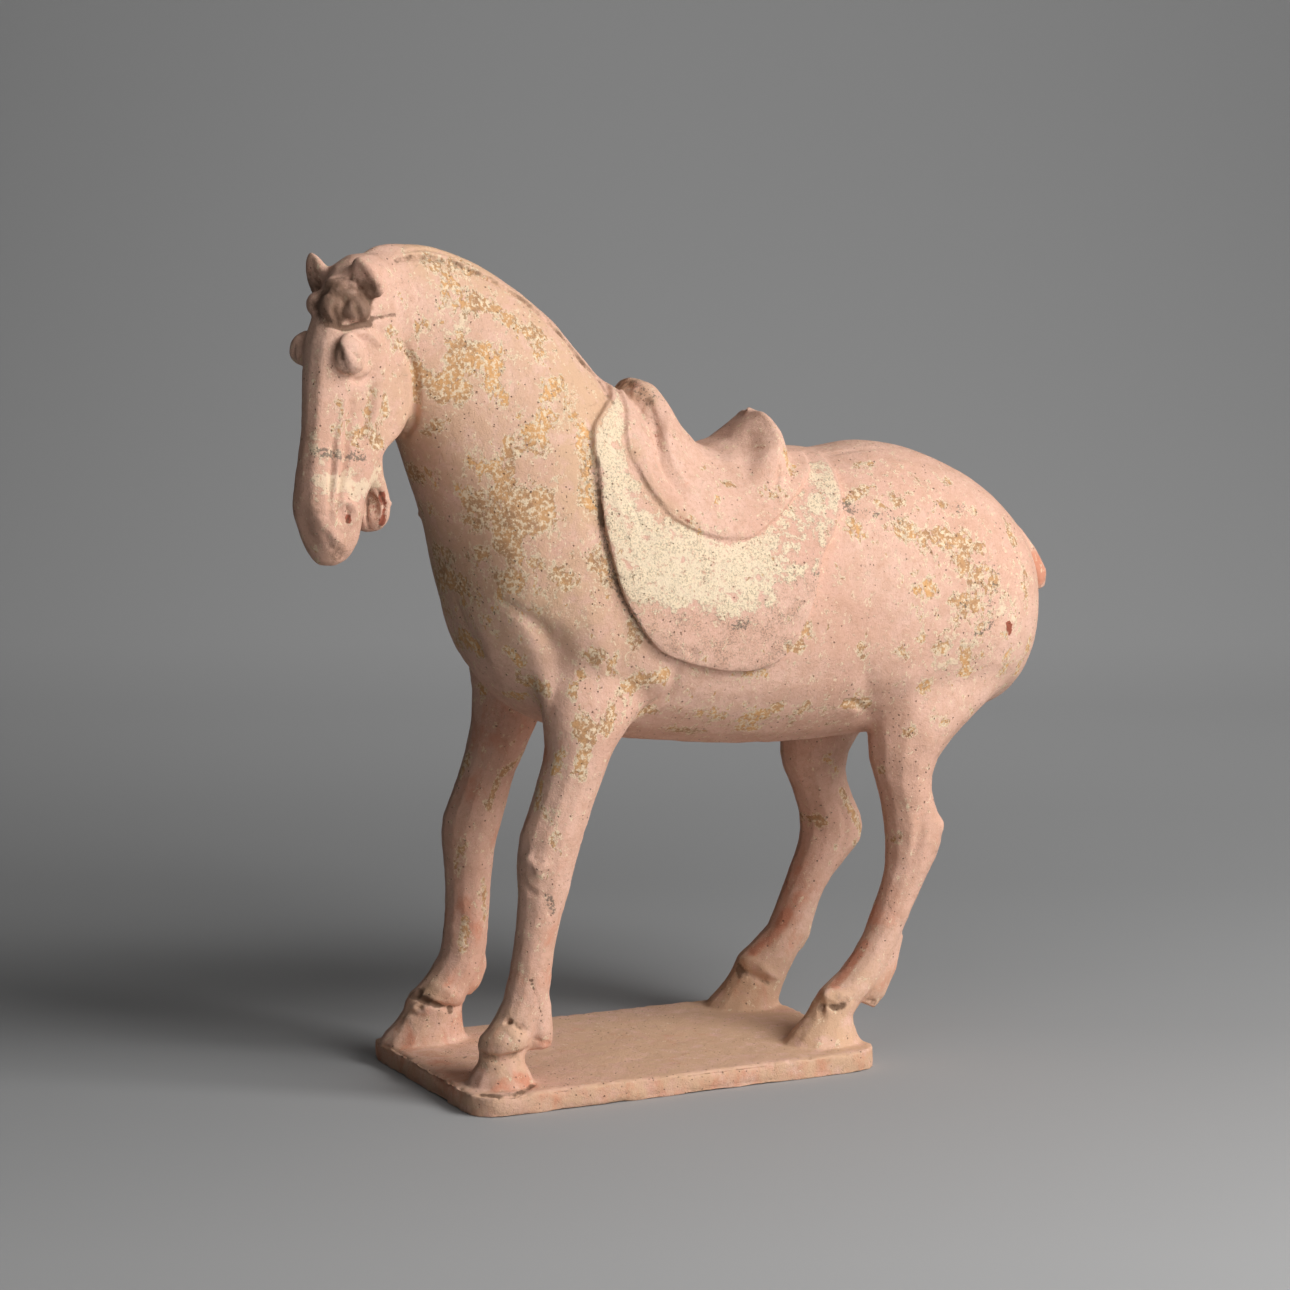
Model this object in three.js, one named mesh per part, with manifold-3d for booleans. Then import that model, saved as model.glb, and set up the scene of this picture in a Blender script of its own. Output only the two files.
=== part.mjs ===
// A standing tomb horse of fired clay. Body, saddle, turned head, legs and the low slab under
// the hooves were luted together and fired as one piece, so the whole figure is one solid.
// The horse faces -X with its left side towards -Y. The origin is under the middle of the slab.
import * as THREE from 'three';
import { mergeVertices } from 'three/addons/utils/BufferGeometryUtils.js';
import Module from 'manifold-3d';

const wasm = await Module();
wasm.setup();

// Driving dimensions, in millimetres
const STANDING_HEIGHT = 504;
const SLAB = { length: 280, width: 172, thickness: 13, corners: { nearFront: 20, nearRear: 24, far: 9 } };
const CLOTH_THICKNESS = 3.5;
const PAD_THICKNESS = 6;

// The figure is laid out on a modeller's grid, with this many parts to its standing height.
// Every table below is in those parts, with z measured from the top of the slab.
const PARTS_TO_HEIGHT = 504;
const part = STANDING_HEIGHT / PARTS_TO_HEIGHT;

// Trunk and neck, from the rump to the poll:
// [top x, top y, top z, bottom x, bottom y, bottom z, half width, widening towards the foot]
const TRUNK = [
  [281, 0, 290, 281, 0, 270, 8, 0],
  [279, 0, 305, 279, 0, 247, 30, 0],
  [273, 0, 319, 274, 0, 228, 46, 0.02],
  [261, 0, 334, 265, 0, 212, 59, 0.05],
  [243, 0, 350, 251, 0, 202, 69, 0.07],
  [220, 0, 363, 226, 0, 196, 75, 0.12],
  [193, 0, 373, 194, 0, 192, 77, 0.13],
  [160, 0, 378, 160, 0, 189, 78, 0.1],
  [122, 0, 372, 122, 0, 187, 78, 0.05],
  [82, 0, 369, 82, 0, 187, 78, 0.04],
  [42, 0, 373, 42, 0, 190, 77, 0.05],
  [8, 0, 390, 2, 0, 195, 76, 0.1],
  [-12, 0, 410, -38, 0, 202, 73, 0.18],
  [-29, 0, 430, -76, 0, 216, 67, 0.2],
  [-50, 0, 454, -103, 0, 244, 60, 0.2],
  [-72, -1, 472, -116, 0, 280, 52, 0.22],
  [-98, -3, 489, -126, -2, 320, 42, 0.22],
  [-125, -6, 500, -139, -4, 354, 33.5, 0.18],
  [-151, -10, 504, -149, -8, 383, 27, 0.12],
  [-176, -16, 500, -163, -12, 406, 22, 0],
  [-198, -22, 482, -178, -18, 432, 18, 0],
];

// The legs, from inside the trunk down into the slab: [x, z, half length, half width]
const NEAR_FORELEG = [
  [-40, 262, 38, 6], [-44, 240, 41, 18], [-51, 214, 29, 23], [-57, 198, 21.5, 21], [-67, 170, 19.3, 18],
  [-77, 145, 20, 18], [-83, 110, 15.2, 14.5], [-88, 84, 12.7, 12.7], [-94, 52, 13.6, 13],
  [-103, 35, 14.8, 13.5], [-109, 26, 17, 16], [-111, 15, 13.8, 13], [-112, 7, 18, 17], [-113, -2, 21.5, 20],
];
const FAR_FORELEG = [
  [-46, 262, 38, 6], [-50, 240, 39, 17], [-58, 214, 25, 22], [-65, 191, 20, 20], [-74, 166, 18, 17.5],
  [-82, 141, 19.5, 18], [-84, 115, 15.8, 15.5], [-84, 84, 14.6, 14], [-86, 56, 15, 14.5],
  [-95, 39, 17, 15], [-104, 28, 20, 17], [-107, 17, 20, 16], [-112, 5, 27, 18.5], [-113, -2, 30, 20],
];
const NEAR_HINDLEG = [
  [204, 268, 54, 6], [206, 248, 59, 16], [202, 227, 55, 23], [187, 204, 38, 25.5], [175, 184, 25.5, 22.5],
  [172, 166, 18.8, 19], [175, 151, 16.8, 17.5], [180, 132, 19.8, 17.5], [178, 112, 16.5, 15.5],
  [169, 91, 13.4, 13.2], [157, 65, 12.7, 12.5], [145, 46, 14.5, 13.2], [129, 30, 18, 15.5],
  [119, 18, 15.5, 14.5], [115, 9, 20, 17.5], [112.5, -2, 28, 22],
];
const FAR_HINDLEG = [
  [196, 264, 52, 6], [190, 238, 50, 19], [177, 204, 36, 24], [164, 176, 26, 22], [162, 158, 21, 20.5],
  [168, 141, 19.5, 19], [176, 122, 21.5, 18], [175, 106, 21.5, 17.5], [165, 90, 17, 15.5],
  [155, 70, 14, 14], [147, 50, 15, 14], [133, 33, 20.5, 17], [124, 16, 20, 18], [115, 3, 24, 22],
  [114, -2, 26, 24],
];
// How far each leg stands out from the middle: at the slab, and under the body
const LEG_STANCE = {
  nearFore: [-56, -48], farFore: [65, 48], nearHind: [-50, -44], farHind: [62, 44],
};
// Clay spurs behind the fetlocks: [x, y, z, radius] down each spur
const SPURS = [
  [[-91, -55, 62, 9], [-90, -55, 44, 11.5], [-89, -56, 31, 11.5], [-88, -56, 20, 9]],
  [[-81, 62, 62, 9], [-79, 63, 46, 10], [-83, 63, 35, 9], [-86, 63, 28, 6]],
  [[164, -48, 66, 9], [156, -48, 46, 12], [148, -48, 31, 12], [143, -48, 21, 9]],
  [[156, 56, 58, 8], [152, 56, 46, 9], [149, 57, 38, 8], [147, 57, 33, 5]],
];
// The worn stub of the tail: [x, y, z, radius]
const TAIL = [[268, 0, 319, 10], [280, 0, 308, 10], [290, 0, 296, 10], [297, 0, 284, 10], [299, 0, 274, 7]];

// The head hangs from this point at the front of the poll and is turned to the horse's left.
const HEAD = { x: -215.5, y: -38.5, z: 494.7, turn: 24 };
// Down the head: [depth below that point, front, back, half width, widening to the front, roundness]
const SKULL = [
  [-4, -26, -44, 8, 0, 1], [3, -14, -54, 15.5, 0, 1], [14, -7, -59, 18, 0, 0.9],
  [30, 0.5, -62, 18.5, -0.05, 0.8], [46, 8, -63.5, 18.5, -0.12, 0.7], [64, 10.5, -64, 18, -0.25, 0.62],
  [84, 12.5, -64, 17, -0.35, 0.6], [95, 13, -60.5, 16.5, -0.36, 0.6],
  [103, 14, -53.5, 16.5, -0.36, 0.62], [109, 15, -42.5, 16.5, -0.34, 0.64],
  [116, 16, -36.5, 17, -0.3, 0.66], [124, 18, -34, 17, -0.25, 0.7], [132, 18, -29, 17.5, -0.2, 0.72],
  [140, 18.5, -23.5, 18, -0.15, 0.76], [147, 17.5, -23.5, 18, -0.12, 0.78],
  [154, 15, -22.5, 17, -0.1, 0.84], [162, 11.5, -21.5, 15.5, -0.05, 0.9], [169, 8.5, -19.5, 13, 0, 1],
  [174, 5.5, -14, 9.5, 0, 1], [177, 1, -7, 5, 0, 1],
];
const LOWER_JAW = [
  [102, -20, -46, 14, 0, 0.9], [114, -17, -41, 16, 0, 0.9], [124, -18, -41, 17, 0, 0.9],
  [131, -24, -44.5, 16, 0, 0.9], [138, -28, -48, 15, 0, 0.9], [148, -30, -49, 15, 0, 0.9],
  [155, -32, -47.5, 13.5, 0, 0.95], [160, -35, -43.5, 8, 0, 1],
];
// Rounded lumps of clay on the head: [depth, forward, left, half depth, half forward, half width]
const EYES = [[54, -5.5, 17.5, 11.5, 10.5, 8], [52, -2.5, -18, 10, 8.5, 8]];
const FORELOCK = [
  [19, -12, 2, 10, 10, 13], [24.5, -6, -7.5, 8, 8, 8], [27, -3, 5, 8, 7.5, 8], [28, -14, 15, 7.5, 9, 8],
];
const TONGUE = [[146, -34, 0, 13, 7, 9]];
const MOUTH_HOLLOW = [[146, -26, 0, 15, 14, 17]];
const NOSTRILS = [[147, 1, 17.5, 6, 4, 3.5], [147, 1, -17.5, 6, 4, 3.5]];
// Ears: [depth, forward, left] at the root and at the tip, half width, and turn outwards
const EARS = [
  { root: [16, -24, 17.5], tip: [-3, -14, 15.5], halfWidth: 10.5, turn: -0.15 },
  { root: [17, -22, -19.5], tip: [-6, -13, -21.5], halfWidth: 10, turn: 0 },
];
// The clipped mane, a low ridge along the crest from one share of the neck's stations to another
const MANE = {
  firstStation: 12, from: 0.03, to: 0.92, halfWidth: 7.5, halfHeight: 6, sunk: 4, narrowestShare: 0.5,
};

// The seat across the back: [y, front x, rear x, height of the pommel, of the dip, of the cantle]
const SEAT = [
  [0, -9, 99, 421, 377, 399], [14, -7, 98, 419, 377, 397], [28, -4, 97, 409, 374, 390],
  [38, -4, 93, 397, 370, 383], [46, -5, 87, 386, 363, 376], [54, -6, 82, 373, 354, 362],
  [62, -4, 77, 353, 339, 343], [69, 2, 70, 321, 316, 315],
];
// The seat from front to rear: [share of the way, rise from the dip to the pommel, and to the cantle]
const SEAT_PROFILE = [
  [0, 0.4, 0], [0.02, 0.8, 0], [0.09, 1, 0], [0.18, 0.96, 0], [0.28, 0.5, 0], [0.4, 0.14, 0], [0.53, 0, 0],
  [0.68, 0, 0.2], [0.82, 0, 0.76], [0.9, 0, 1], [0.96, 0, 0.86], [0.99, 0, 0.35], [1, 0, -0.7],
];
const SEAT_UNDERSIDE = { z: 290, shares: [0.96, 0.7, 0.48, 0.26, 0.04] };

// Outlines of the saddle pad and of the saddle cloth, seen from the side: [x, z]
const PAD = [
  [-2, 432], [-20, 398], [-23, 374], [-8, 345], [22, 328], [50, 327], [82, 345], [106, 364], [116, 386],
  [106, 412], [50, 440],
];
const CLOTH = [
  [-8, 432], [-24, 413], [-45, 394], [-49, 365], [-46, 325], [-36, 290], [-12, 260], [36, 244], [68, 252],
  [86, 280], [98, 312], [120, 346], [122, 384], [106, 412], [40, 440],
];
const OUTLINE_POINTS = 40;

const vector = (x, y, z) => new THREE.Vector3(x, y, z);
const BACKWARDS = vector(1, 0, 0);
const ACROSS = vector(0, 1, 0);
const UPWARDS = vector(0, 0, 1);
const TENSION = 0.5;
const smoothLine = (points) => new THREE.CatmullRomCurve3(points, false, 'catmullrom', TENSION);
// A point given in parts, above the top of the slab
const place = (x, y, z) => vector(x * part, y * part, z * part + SLAB.thickness);

// A point of a section at an angle. A power under one squares the section's corners.
function rimPoint(angle, power) {
  const across = Math.cos(angle);
  const up = Math.sin(angle);
  return [Math.sign(across) * Math.abs(across) ** power, Math.sign(up) * Math.abs(up) ** power];
}

// A closed ring of points about a centre. A positive pear widens the section below its centre.
function ring(centre, across, up, halfAcross, halfUp, sides, { power = 1, pear = 0 } = {}) {
  return Array.from({ length: sides }, (_, i) => {
    const [a, u] = rimPoint((2 * Math.PI * i) / sides, power);
    return centre.clone()
      .addScaledVector(across, halfAcross * a * (1 - pear * u))
      .addScaledVector(up, halfUp * u);
  });
}

// Turns points and faces into a manifold solid, with its faces pointing out
function solidOf(points, faces) {
  const volume = faces.reduce((sum, [a, b, c]) =>
    sum + points[a].dot(points[b].clone().cross(points[c])), 0);
  const outward = volume > 0 ? faces : faces.map(([a, b, c]) => [a, c, b]);
  return new wasm.Manifold(new wasm.Mesh({
    numProp: 3,
    vertProperties: Float32Array.from(points.flatMap((p) => [p.x, p.y, p.z])),
    triVerts: Uint32Array.from(outward.flat()),
  }));
}

// A closed solid over rings of equal point count, with a cap at each end
function skin(rings) {
  const sides = rings[0].length;
  const last = rings.length - 1;
  const points = rings.flat();
  const middle = (loop) => loop.reduce((sum, p) => sum.add(p), vector(0, 0, 0)).divideScalar(sides);
  points.push(middle(rings[0]), middle(rings[last]));
  const faces = [];
  for (let i = 0; i < sides; i += 1) {
    const j = (i + 1) % sides;
    for (let k = 0; k < last; k += 1) {
      const [a, b, c, d] = [k * sides + i, k * sides + j, (k + 1) * sides + j, (k + 1) * sides + i];
      faces.push([a, b, c], [a, c, d]);
    }
    faces.push([points.length - 2, j, i], [points.length - 1, last * sides + i, last * sides + j]);
  }
  return solidOf(points, faces);
}

// Turns a three.js geometry into a manifold solid
function solidFrom(geometry) {
  const SAME_POINT = 1e-4;
  const bare = geometry.clone();
  bare.deleteAttribute('normal');
  bare.deleteAttribute('uv');
  const merged = mergeVertices(bare, SAME_POINT);
  return new wasm.Manifold(new wasm.Mesh({
    numProp: 3,
    vertProperties: Float32Array.from(merged.attributes.position.array),
    triVerts: Uint32Array.from(merged.index.array),
  }));
}

// The trunk and neck, swollen outwards by a thickness where something lies on them
function trunk(swell = 0) {
  const STEPS = 34;
  const SIDES = 24;
  const SQUARENESS = 0.92;
  const LOOK_AHEAD = 0.02;
  const top = smoothLine(TRUNK.map((r) => place(r[0], r[1], r[2])));
  const bottom = smoothLine(TRUNK.map((r) => place(r[3], r[4], r[5])));
  const widths = smoothLine(TRUNK.map((r) => vector(r[6] * part, r[7], 0)));
  const middleAt = (t) => top.getPoint(t).add(bottom.getPoint(t)).multiplyScalar(0.5);
  const rings = Array.from({ length: STEPS + 1 }, (_, i) => {
    const t = i / STEPS;
    const up = top.getPoint(t).sub(bottom.getPoint(t));
    const half = up.length() / 2;
    up.normalize();
    const ahead = middleAt(Math.min(t + LOOK_AHEAD, 1)).sub(middleAt(Math.max(t - LOOK_AHEAD, 0)));
    const across = ahead.cross(up).normalize();
    const width = widths.getPoint(t);
    return ring(middleAt(t), across, up, width.x + swell, half + swell, SIDES,
      { power: SQUARENESS, pear: width.y });
  });
  return skin(rings);
}

// The clipped mane, narrowed towards both of its ends
function mane() {
  const STEPS = 14;
  const SIDES = 10;
  const BLUNTNESS = 0.4;
  const crest = smoothLine(TRUNK.slice(MANE.firstStation).map((r) => place(r[0], r[1], r[2])));
  const rings = Array.from({ length: STEPS + 1 }, (_, i) => {
    const share = i / STEPS;
    const t = MANE.from + (MANE.to - MANE.from) * share;
    const along = crest.getTangent(t);
    const across = along.clone().cross(UPWARDS).normalize();
    const up = across.clone().cross(along).normalize();
    const centre = crest.getPoint(t).addScaledVector(up, -MANE.sunk * part);
    const fullness = Math.sin(Math.PI * share) ** BLUNTNESS;
    const narrowing = MANE.narrowestShare + (1 - MANE.narrowestShare) * fullness;
    return ring(centre, across, up, MANE.halfWidth * part * narrowing, MANE.halfHeight * part, SIDES);
  });
  return skin(rings);
}

function leg(table, [yAtSlab, yAtTop]) {
  const SIDES = 12;
  const STEPS = 24;
  const topOfLeg = table[0][1];
  const path = smoothLine(table.map(([x, z]) =>
    place(x, yAtSlab + ((yAtTop - yAtSlab) * z) / topOfLeg, z)));
  const sizes = smoothLine(table.map((row) => vector(row[2] * part, row[3] * part, 0)));
  const rings = Array.from({ length: STEPS + 1 }, (_, i) => {
    const size = sizes.getPoint(i / STEPS);
    return ring(path.getPoint(i / STEPS), BACKWARDS, ACROSS, size.x, size.y, SIDES);
  });
  return skin(rings);
}

// A tapering stub along a row of points, each with its radius
function stub(rows) {
  const SIDES = 8;
  const path = smoothLine(rows.map(([x, y, z]) => place(x, y, z)));
  const rings = rows.map((row, i) => {
    const t = i / (rows.length - 1);
    const along = path.getTangent(t);
    const up = ACROSS.clone().cross(along).normalize();
    return ring(path.getPoint(t), ACROSS, up, row[3] * part, row[3] * part, SIDES);
  });
  return skin(rings);
}

const turn = THREE.MathUtils.degToRad(HEAD.turn);
const forward = vector(-Math.cos(turn), -Math.sin(turn), 0);
const left = vector(Math.sin(turn), -Math.cos(turn), 0);

// A point on the head, from its depth below the poll and its distances forward and to the left
function headPoint(depth, ahead, aside) {
  return place(HEAD.x, HEAD.y, HEAD.z - depth)
    .addScaledVector(forward, ahead * part)
    .addScaledVector(left, aside * part);
}

function headLoft(table) {
  const SIDES = 16;
  return skin(table.map(([depth, front, back, halfWidth, widening, power]) =>
    ring(headPoint(depth, (front + back) / 2, 0), left, forward, halfWidth * part,
      ((front - back) / 2) * part, SIDES, { power, pear: -widening })));
}

// Egg-shaped lumps in the head's own directions
function lumps(rows) {
  const SIDES = 12;
  const BANDS = 7;
  return rows.map(([depth, ahead, aside, halfDepth, halfAhead, halfWidth]) => {
    const egg = new THREE.SphereGeometry(1, SIDES, BANDS);
    egg.rotateX(Math.PI / 2);
    egg.scale(halfAhead * part, halfWidth * part, halfDepth * part);
    egg.rotateZ(turn);
    const at = headPoint(depth, ahead, aside);
    egg.translate(at.x, at.y, at.z);
    return solidFrom(egg);
  });
}

// A pricked ear, leaf shaped, thinner from front to back
function ear(shape) {
  const SIDES = 10;
  const base = headPoint(...shape.root);
  const end = headPoint(...shape.tip);
  const along = end.clone().sub(base).normalize();
  const across = left.clone().addScaledVector(forward, shape.turn);
  across.addScaledVector(along, -across.dot(along)).normalize();
  const up = across.clone().cross(along);
  const wide = shape.halfWidth * part;
  // Along the ear, its width and its thickness, as shares of its greatest half width
  const leaf = [
    [-0.2, 0.8, 0.5], [0, 0.95, 0.52], [0.3, 1, 0.48], [0.6, 0.88, 0.4], [0.85, 0.6, 0.28], [1, 0.24, 0.14],
  ];
  return skin(leaf.map(([t, width, thickness]) =>
    ring(base.clone().lerp(end, t), across, up, width * wide, thickness * wide, SIDES)));
}

function seat() {
  const across = [...SEAT.slice(1).reverse().map(([y, ...rest]) => [-y, ...rest]), ...SEAT];
  return skin(across.map(([y, front, rear, pommel, dip, cantle]) => {
    const along = (share) => front + (rear - front) * share;
    const top = SEAT_PROFILE.map(([share, toPommel, toCantle]) =>
      place(along(share), y, dip + (pommel - dip) * toPommel + (cantle - dip) * toCantle));
    const underside = SEAT_UNDERSIDE.shares.map((share) => place(along(share), y, SEAT_UNDERSIDE.z));
    return [...top, ...underside];
  }));
}

// The part of a swollen trunk that lies inside an outline drawn from the side
function laidOn(thickness, outline) {
  const curve = new THREE.CatmullRomCurve3(outline.map(([x, z]) => place(x, 0, z)), true);
  const points = curve.getPoints(OUTLINE_POINTS).slice(0, OUTLINE_POINTS);
  const shape = new THREE.Shape(points.map((p) => new THREE.Vector2(p.x, p.z)));
  const reach = PARTS_TO_HEIGHT * part;
  const prism = new THREE.ExtrudeGeometry(shape, { depth: 2 * reach, bevelEnabled: false });
  prism.rotateX(Math.PI / 2);
  prism.translate(0, reach, 0);
  return trunk(thickness).intersect(solidFrom(prism));
}

function slab() {
  const CORNER_STEPS = 6;
  const { length, width, thickness, corners } = SLAB;
  const outline = new THREE.Shape();
  const [x, y] = [length / 2, width / 2];
  const turns = [
    [-x, -y, corners.nearFront, Math.PI], [x, -y, corners.nearRear, 1.5 * Math.PI],
    [x, y, corners.far, 0], [-x, y, corners.far, Math.PI / 2],
  ];
  turns.forEach(([cornerX, cornerY, radius, from]) => {
    const centreX = cornerX - Math.sign(cornerX) * radius;
    const centreY = cornerY - Math.sign(cornerY) * radius;
    outline.absarc(centreX, centreY, radius, from, from + Math.PI / 2);
  });
  const settings = { depth: thickness, bevelEnabled: false, curveSegments: CORNER_STEPS };
  return solidFrom(new THREE.ExtrudeGeometry(outline, settings));
}

const joined = (solids) => solids.reduce((whole, solid) => whole.add(solid));

const jaw = joined([
  headLoft(LOWER_JAW).subtract(joined(lumps(MOUTH_HOLLOW))),
  ...lumps(TONGUE),
]);
const head = joined([
  headLoft(SKULL), ...lumps(EYES), ...lumps(FORELOCK), ...EARS.map(ear),
]).subtract(joined(lumps(NOSTRILS)));
const figure = joined([
  slab(), trunk(), mane(), head, jaw,
  laidOn(CLOTH_THICKNESS, CLOTH),
  laidOn(PAD_THICKNESS, PAD),
  seat(),
  leg(NEAR_FORELEG, LEG_STANCE.nearFore),
  leg(FAR_FORELEG, LEG_STANCE.farFore),
  leg(NEAR_HINDLEG, LEG_STANCE.nearHind),
  leg(FAR_HINDLEG, LEG_STANCE.farHind),
  ...SPURS.map(stub),
  stub(TAIL),
]);

function meshOf(solid, name) {
  const { vertProperties, triVerts } = solid.getMesh();
  const geometry = new THREE.BufferGeometry();
  geometry.setAttribute('position', new THREE.BufferAttribute(vertProperties, 3));
  geometry.setIndex(new THREE.BufferAttribute(triVerts, 1));
  geometry.computeVertexNormals();
  const clay = new THREE.MeshStandardMaterial({ color: 0xd9ab96, roughness: 0.9, metalness: 0 });
  const mesh = new THREE.Mesh(geometry, clay);
  mesh.name = name;
  return mesh;
}

const horse = new THREE.Group();
horse.add(meshOf(figure, 'tomb_horse'));
export default horse;
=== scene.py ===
"""The looks of a standing tomb horse: fired clay under pink slip, worn, stained and earth marked.

The figure faces -X with its left side towards -Y and stands on the floor at z = 0. Shapes are laid out
in parts, of which the horse is FIGURE_PARTS tall, with z measured from the top of the slab. A tool stroke
or a stain that shows in the photograph is placed by the pixels of the photograph that it passes.
"""

import itertools
import logging
import math
from dataclasses import dataclass, field
from enum import Enum

import bpy
import numpy as np
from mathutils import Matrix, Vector
from mathutils.bvhtree import BVHTree


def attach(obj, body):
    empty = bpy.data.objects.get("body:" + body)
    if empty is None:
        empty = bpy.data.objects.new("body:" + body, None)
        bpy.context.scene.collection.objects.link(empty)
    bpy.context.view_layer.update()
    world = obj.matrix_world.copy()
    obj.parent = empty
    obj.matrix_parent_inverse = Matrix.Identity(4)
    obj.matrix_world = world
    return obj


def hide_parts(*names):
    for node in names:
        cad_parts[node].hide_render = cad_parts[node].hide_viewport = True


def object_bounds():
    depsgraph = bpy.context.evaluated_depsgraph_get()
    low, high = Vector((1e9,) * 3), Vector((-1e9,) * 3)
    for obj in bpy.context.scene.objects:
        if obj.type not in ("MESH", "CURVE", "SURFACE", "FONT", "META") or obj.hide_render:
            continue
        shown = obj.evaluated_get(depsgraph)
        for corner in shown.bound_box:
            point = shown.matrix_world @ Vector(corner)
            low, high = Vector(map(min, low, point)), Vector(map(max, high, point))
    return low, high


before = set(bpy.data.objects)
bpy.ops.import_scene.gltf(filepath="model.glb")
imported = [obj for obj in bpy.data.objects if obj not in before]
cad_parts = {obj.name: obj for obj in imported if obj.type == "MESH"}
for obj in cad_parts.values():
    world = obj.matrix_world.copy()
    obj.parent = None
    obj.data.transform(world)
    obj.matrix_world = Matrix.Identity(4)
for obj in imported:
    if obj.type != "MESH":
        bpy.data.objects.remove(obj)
CAD_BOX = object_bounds()

LOG = logging.getLogger("tomb_horse")
PHOTO_SIZE = 1290

# The modeller's grid: the figure's height over all, and its slab, in parts
FIGURE_PARTS = 518.6
SLAB_PARTS = 13.0
PART = (CAD_BOX[1].z - CAD_BOX[0].z) / FIGURE_PARTS

Point = tuple[float, float, float]
Pixel = tuple[float, float]
Path = tuple[Pixel, ...]


def placed(point: Point) -> Vector:
    """Return a point given in parts above the slab as a place in metres."""
    return Vector((point[0], point[1], point[2] + SLAB_PARTS)) * PART


def in_parts(metres: np.ndarray) -> np.ndarray:
    """Return places in metres as points in parts above the slab."""
    return metres / PART - np.array((0.0, 0.0, SLAB_PARTS))


def smooth_step(low: float, high: float, value: np.ndarray) -> np.ndarray:
    """Rise smoothly from 0 at low to 1 at high.

    Args:
        low: The value where the rise starts.
        high: The value where it ends; it may lie below low.
        value: The values to weigh.

    Returns:
        The weights, from 0 to 1.
    """
    share = np.clip((value - low) / (high - low), 0.0, 1.0)
    return share * share * (3.0 - 2.0 * share)


def smooth_line(points: list[tuple[float, ...]], steps: int, closed: bool = False) -> np.ndarray:
    """Run a Catmull-Rom curve through points.

    Args:
        points: The points to pass through, of two or three numbers each.
        steps: The number of stretches between one point and the next.
        closed: Whether the curve returns to its first point.

    Returns:
        The points along the curve, one in each row.
    """
    given = np.array(points, float)
    if len(given) == 1:
        return given
    if closed:
        padded = np.vstack((given[-1], given, given[0], given[1]))
    else:
        padded = np.vstack((2 * given[0] - given[1], given, 2 * given[-1] - given[-2]))
    share = (np.arange(steps) / steps)[:, None]
    rows = []
    for before, start, end, after in zip(padded, padded[1:], padded[2:], padded[3:]):
        rows.append(0.5 * (2 * start + (end - before) * share
                           + (2 * before - 5 * start + 4 * end - after) * share**2
                           + (3 * start - before - 3 * end + after) * share**3))
    if not closed:
        rows.append(given[-1:])
    return np.vstack(rows)


def nearest_on_line(spots: np.ndarray, line: np.ndarray) -> tuple[np.ndarray, np.ndarray]:
    """Measure how far spots lie from a line of straight stretches.

    Args:
        spots: The places to measure from, one in each row.
        line: The line's points, one in each row.

    Returns:
        Each spot's distance from the line, and the share of the line's stretches that lies before the
        nearest place on it.
    """
    if len(line) == 1:
        return np.linalg.norm(spots - line[0], axis=1), np.full(len(spots), 0.5)
    best = np.full(len(spots), np.inf)
    along = np.zeros(len(spots))
    for k in range(len(line) - 1):
        start, stretch = line[k], line[k + 1] - line[k]
        share = np.clip((spots - start) @ stretch / max(stretch @ stretch, 1e-12), 0.0, 1.0)
        away = spots - start - share[:, None] * stretch
        distance = np.einsum("ij,ij->i", away, away)
        nearer = distance < best
        best[nearer] = distance[nearer]
        along[nearer] = (k + share[nearer]) / (len(line) - 1)
    return np.sqrt(best), along


def lattice_noise(spots: np.ndarray, size: float, seed: int) -> np.ndarray:
    """Return soft irregular values from -1 to 1 over places.

    Args:
        spots: The places, one in each row.
        size: The width of one lump of the noise, in the same unit.
        seed: A number that picks the pattern.

    Returns:
        One value for each place.
    """
    grid = spots / size + 0.37 * seed
    cell = np.floor(grid).astype(np.int64)
    share = grid - cell
    share = share * share * (3.0 - 2.0 * share)
    total = np.zeros(len(spots))
    for corner in itertools.product((0, 1), repeat=3):
        at = cell + np.array(corner)
        mixed = (at[:, 0] * 73856093) ^ (at[:, 1] * 19349663) ^ (at[:, 2] * 83492791) ^ (seed * 40503)
        mixed = (mixed ^ (mixed >> 13)) * 1274126177
        value = ((mixed ^ (mixed >> 16)) & 0xFFFF) / 32767.5 - 1.0
        total += value * np.where(np.array(corner) == 1, share, 1.0 - share).prod(axis=1)
    return total


@dataclass(frozen=True)
class HeadFrame:
    """Where the head hangs from the poll, and how far it is turned to the horse's left."""

    poll: Point = (-215.5, -38.5, 494.7)
    turn: float = math.radians(24)

    def reflected(self, spots: np.ndarray) -> np.ndarray:
        """Return places on the other side of the head, mirrored across its middle plane."""
        left = np.array((math.sin(self.turn), -math.cos(self.turn), 0.0))
        aside = (spots - np.array(self.poll)) @ left
        return spots - 2.0 * aside[:, None] * left


HEAD = HeadFrame()


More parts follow.
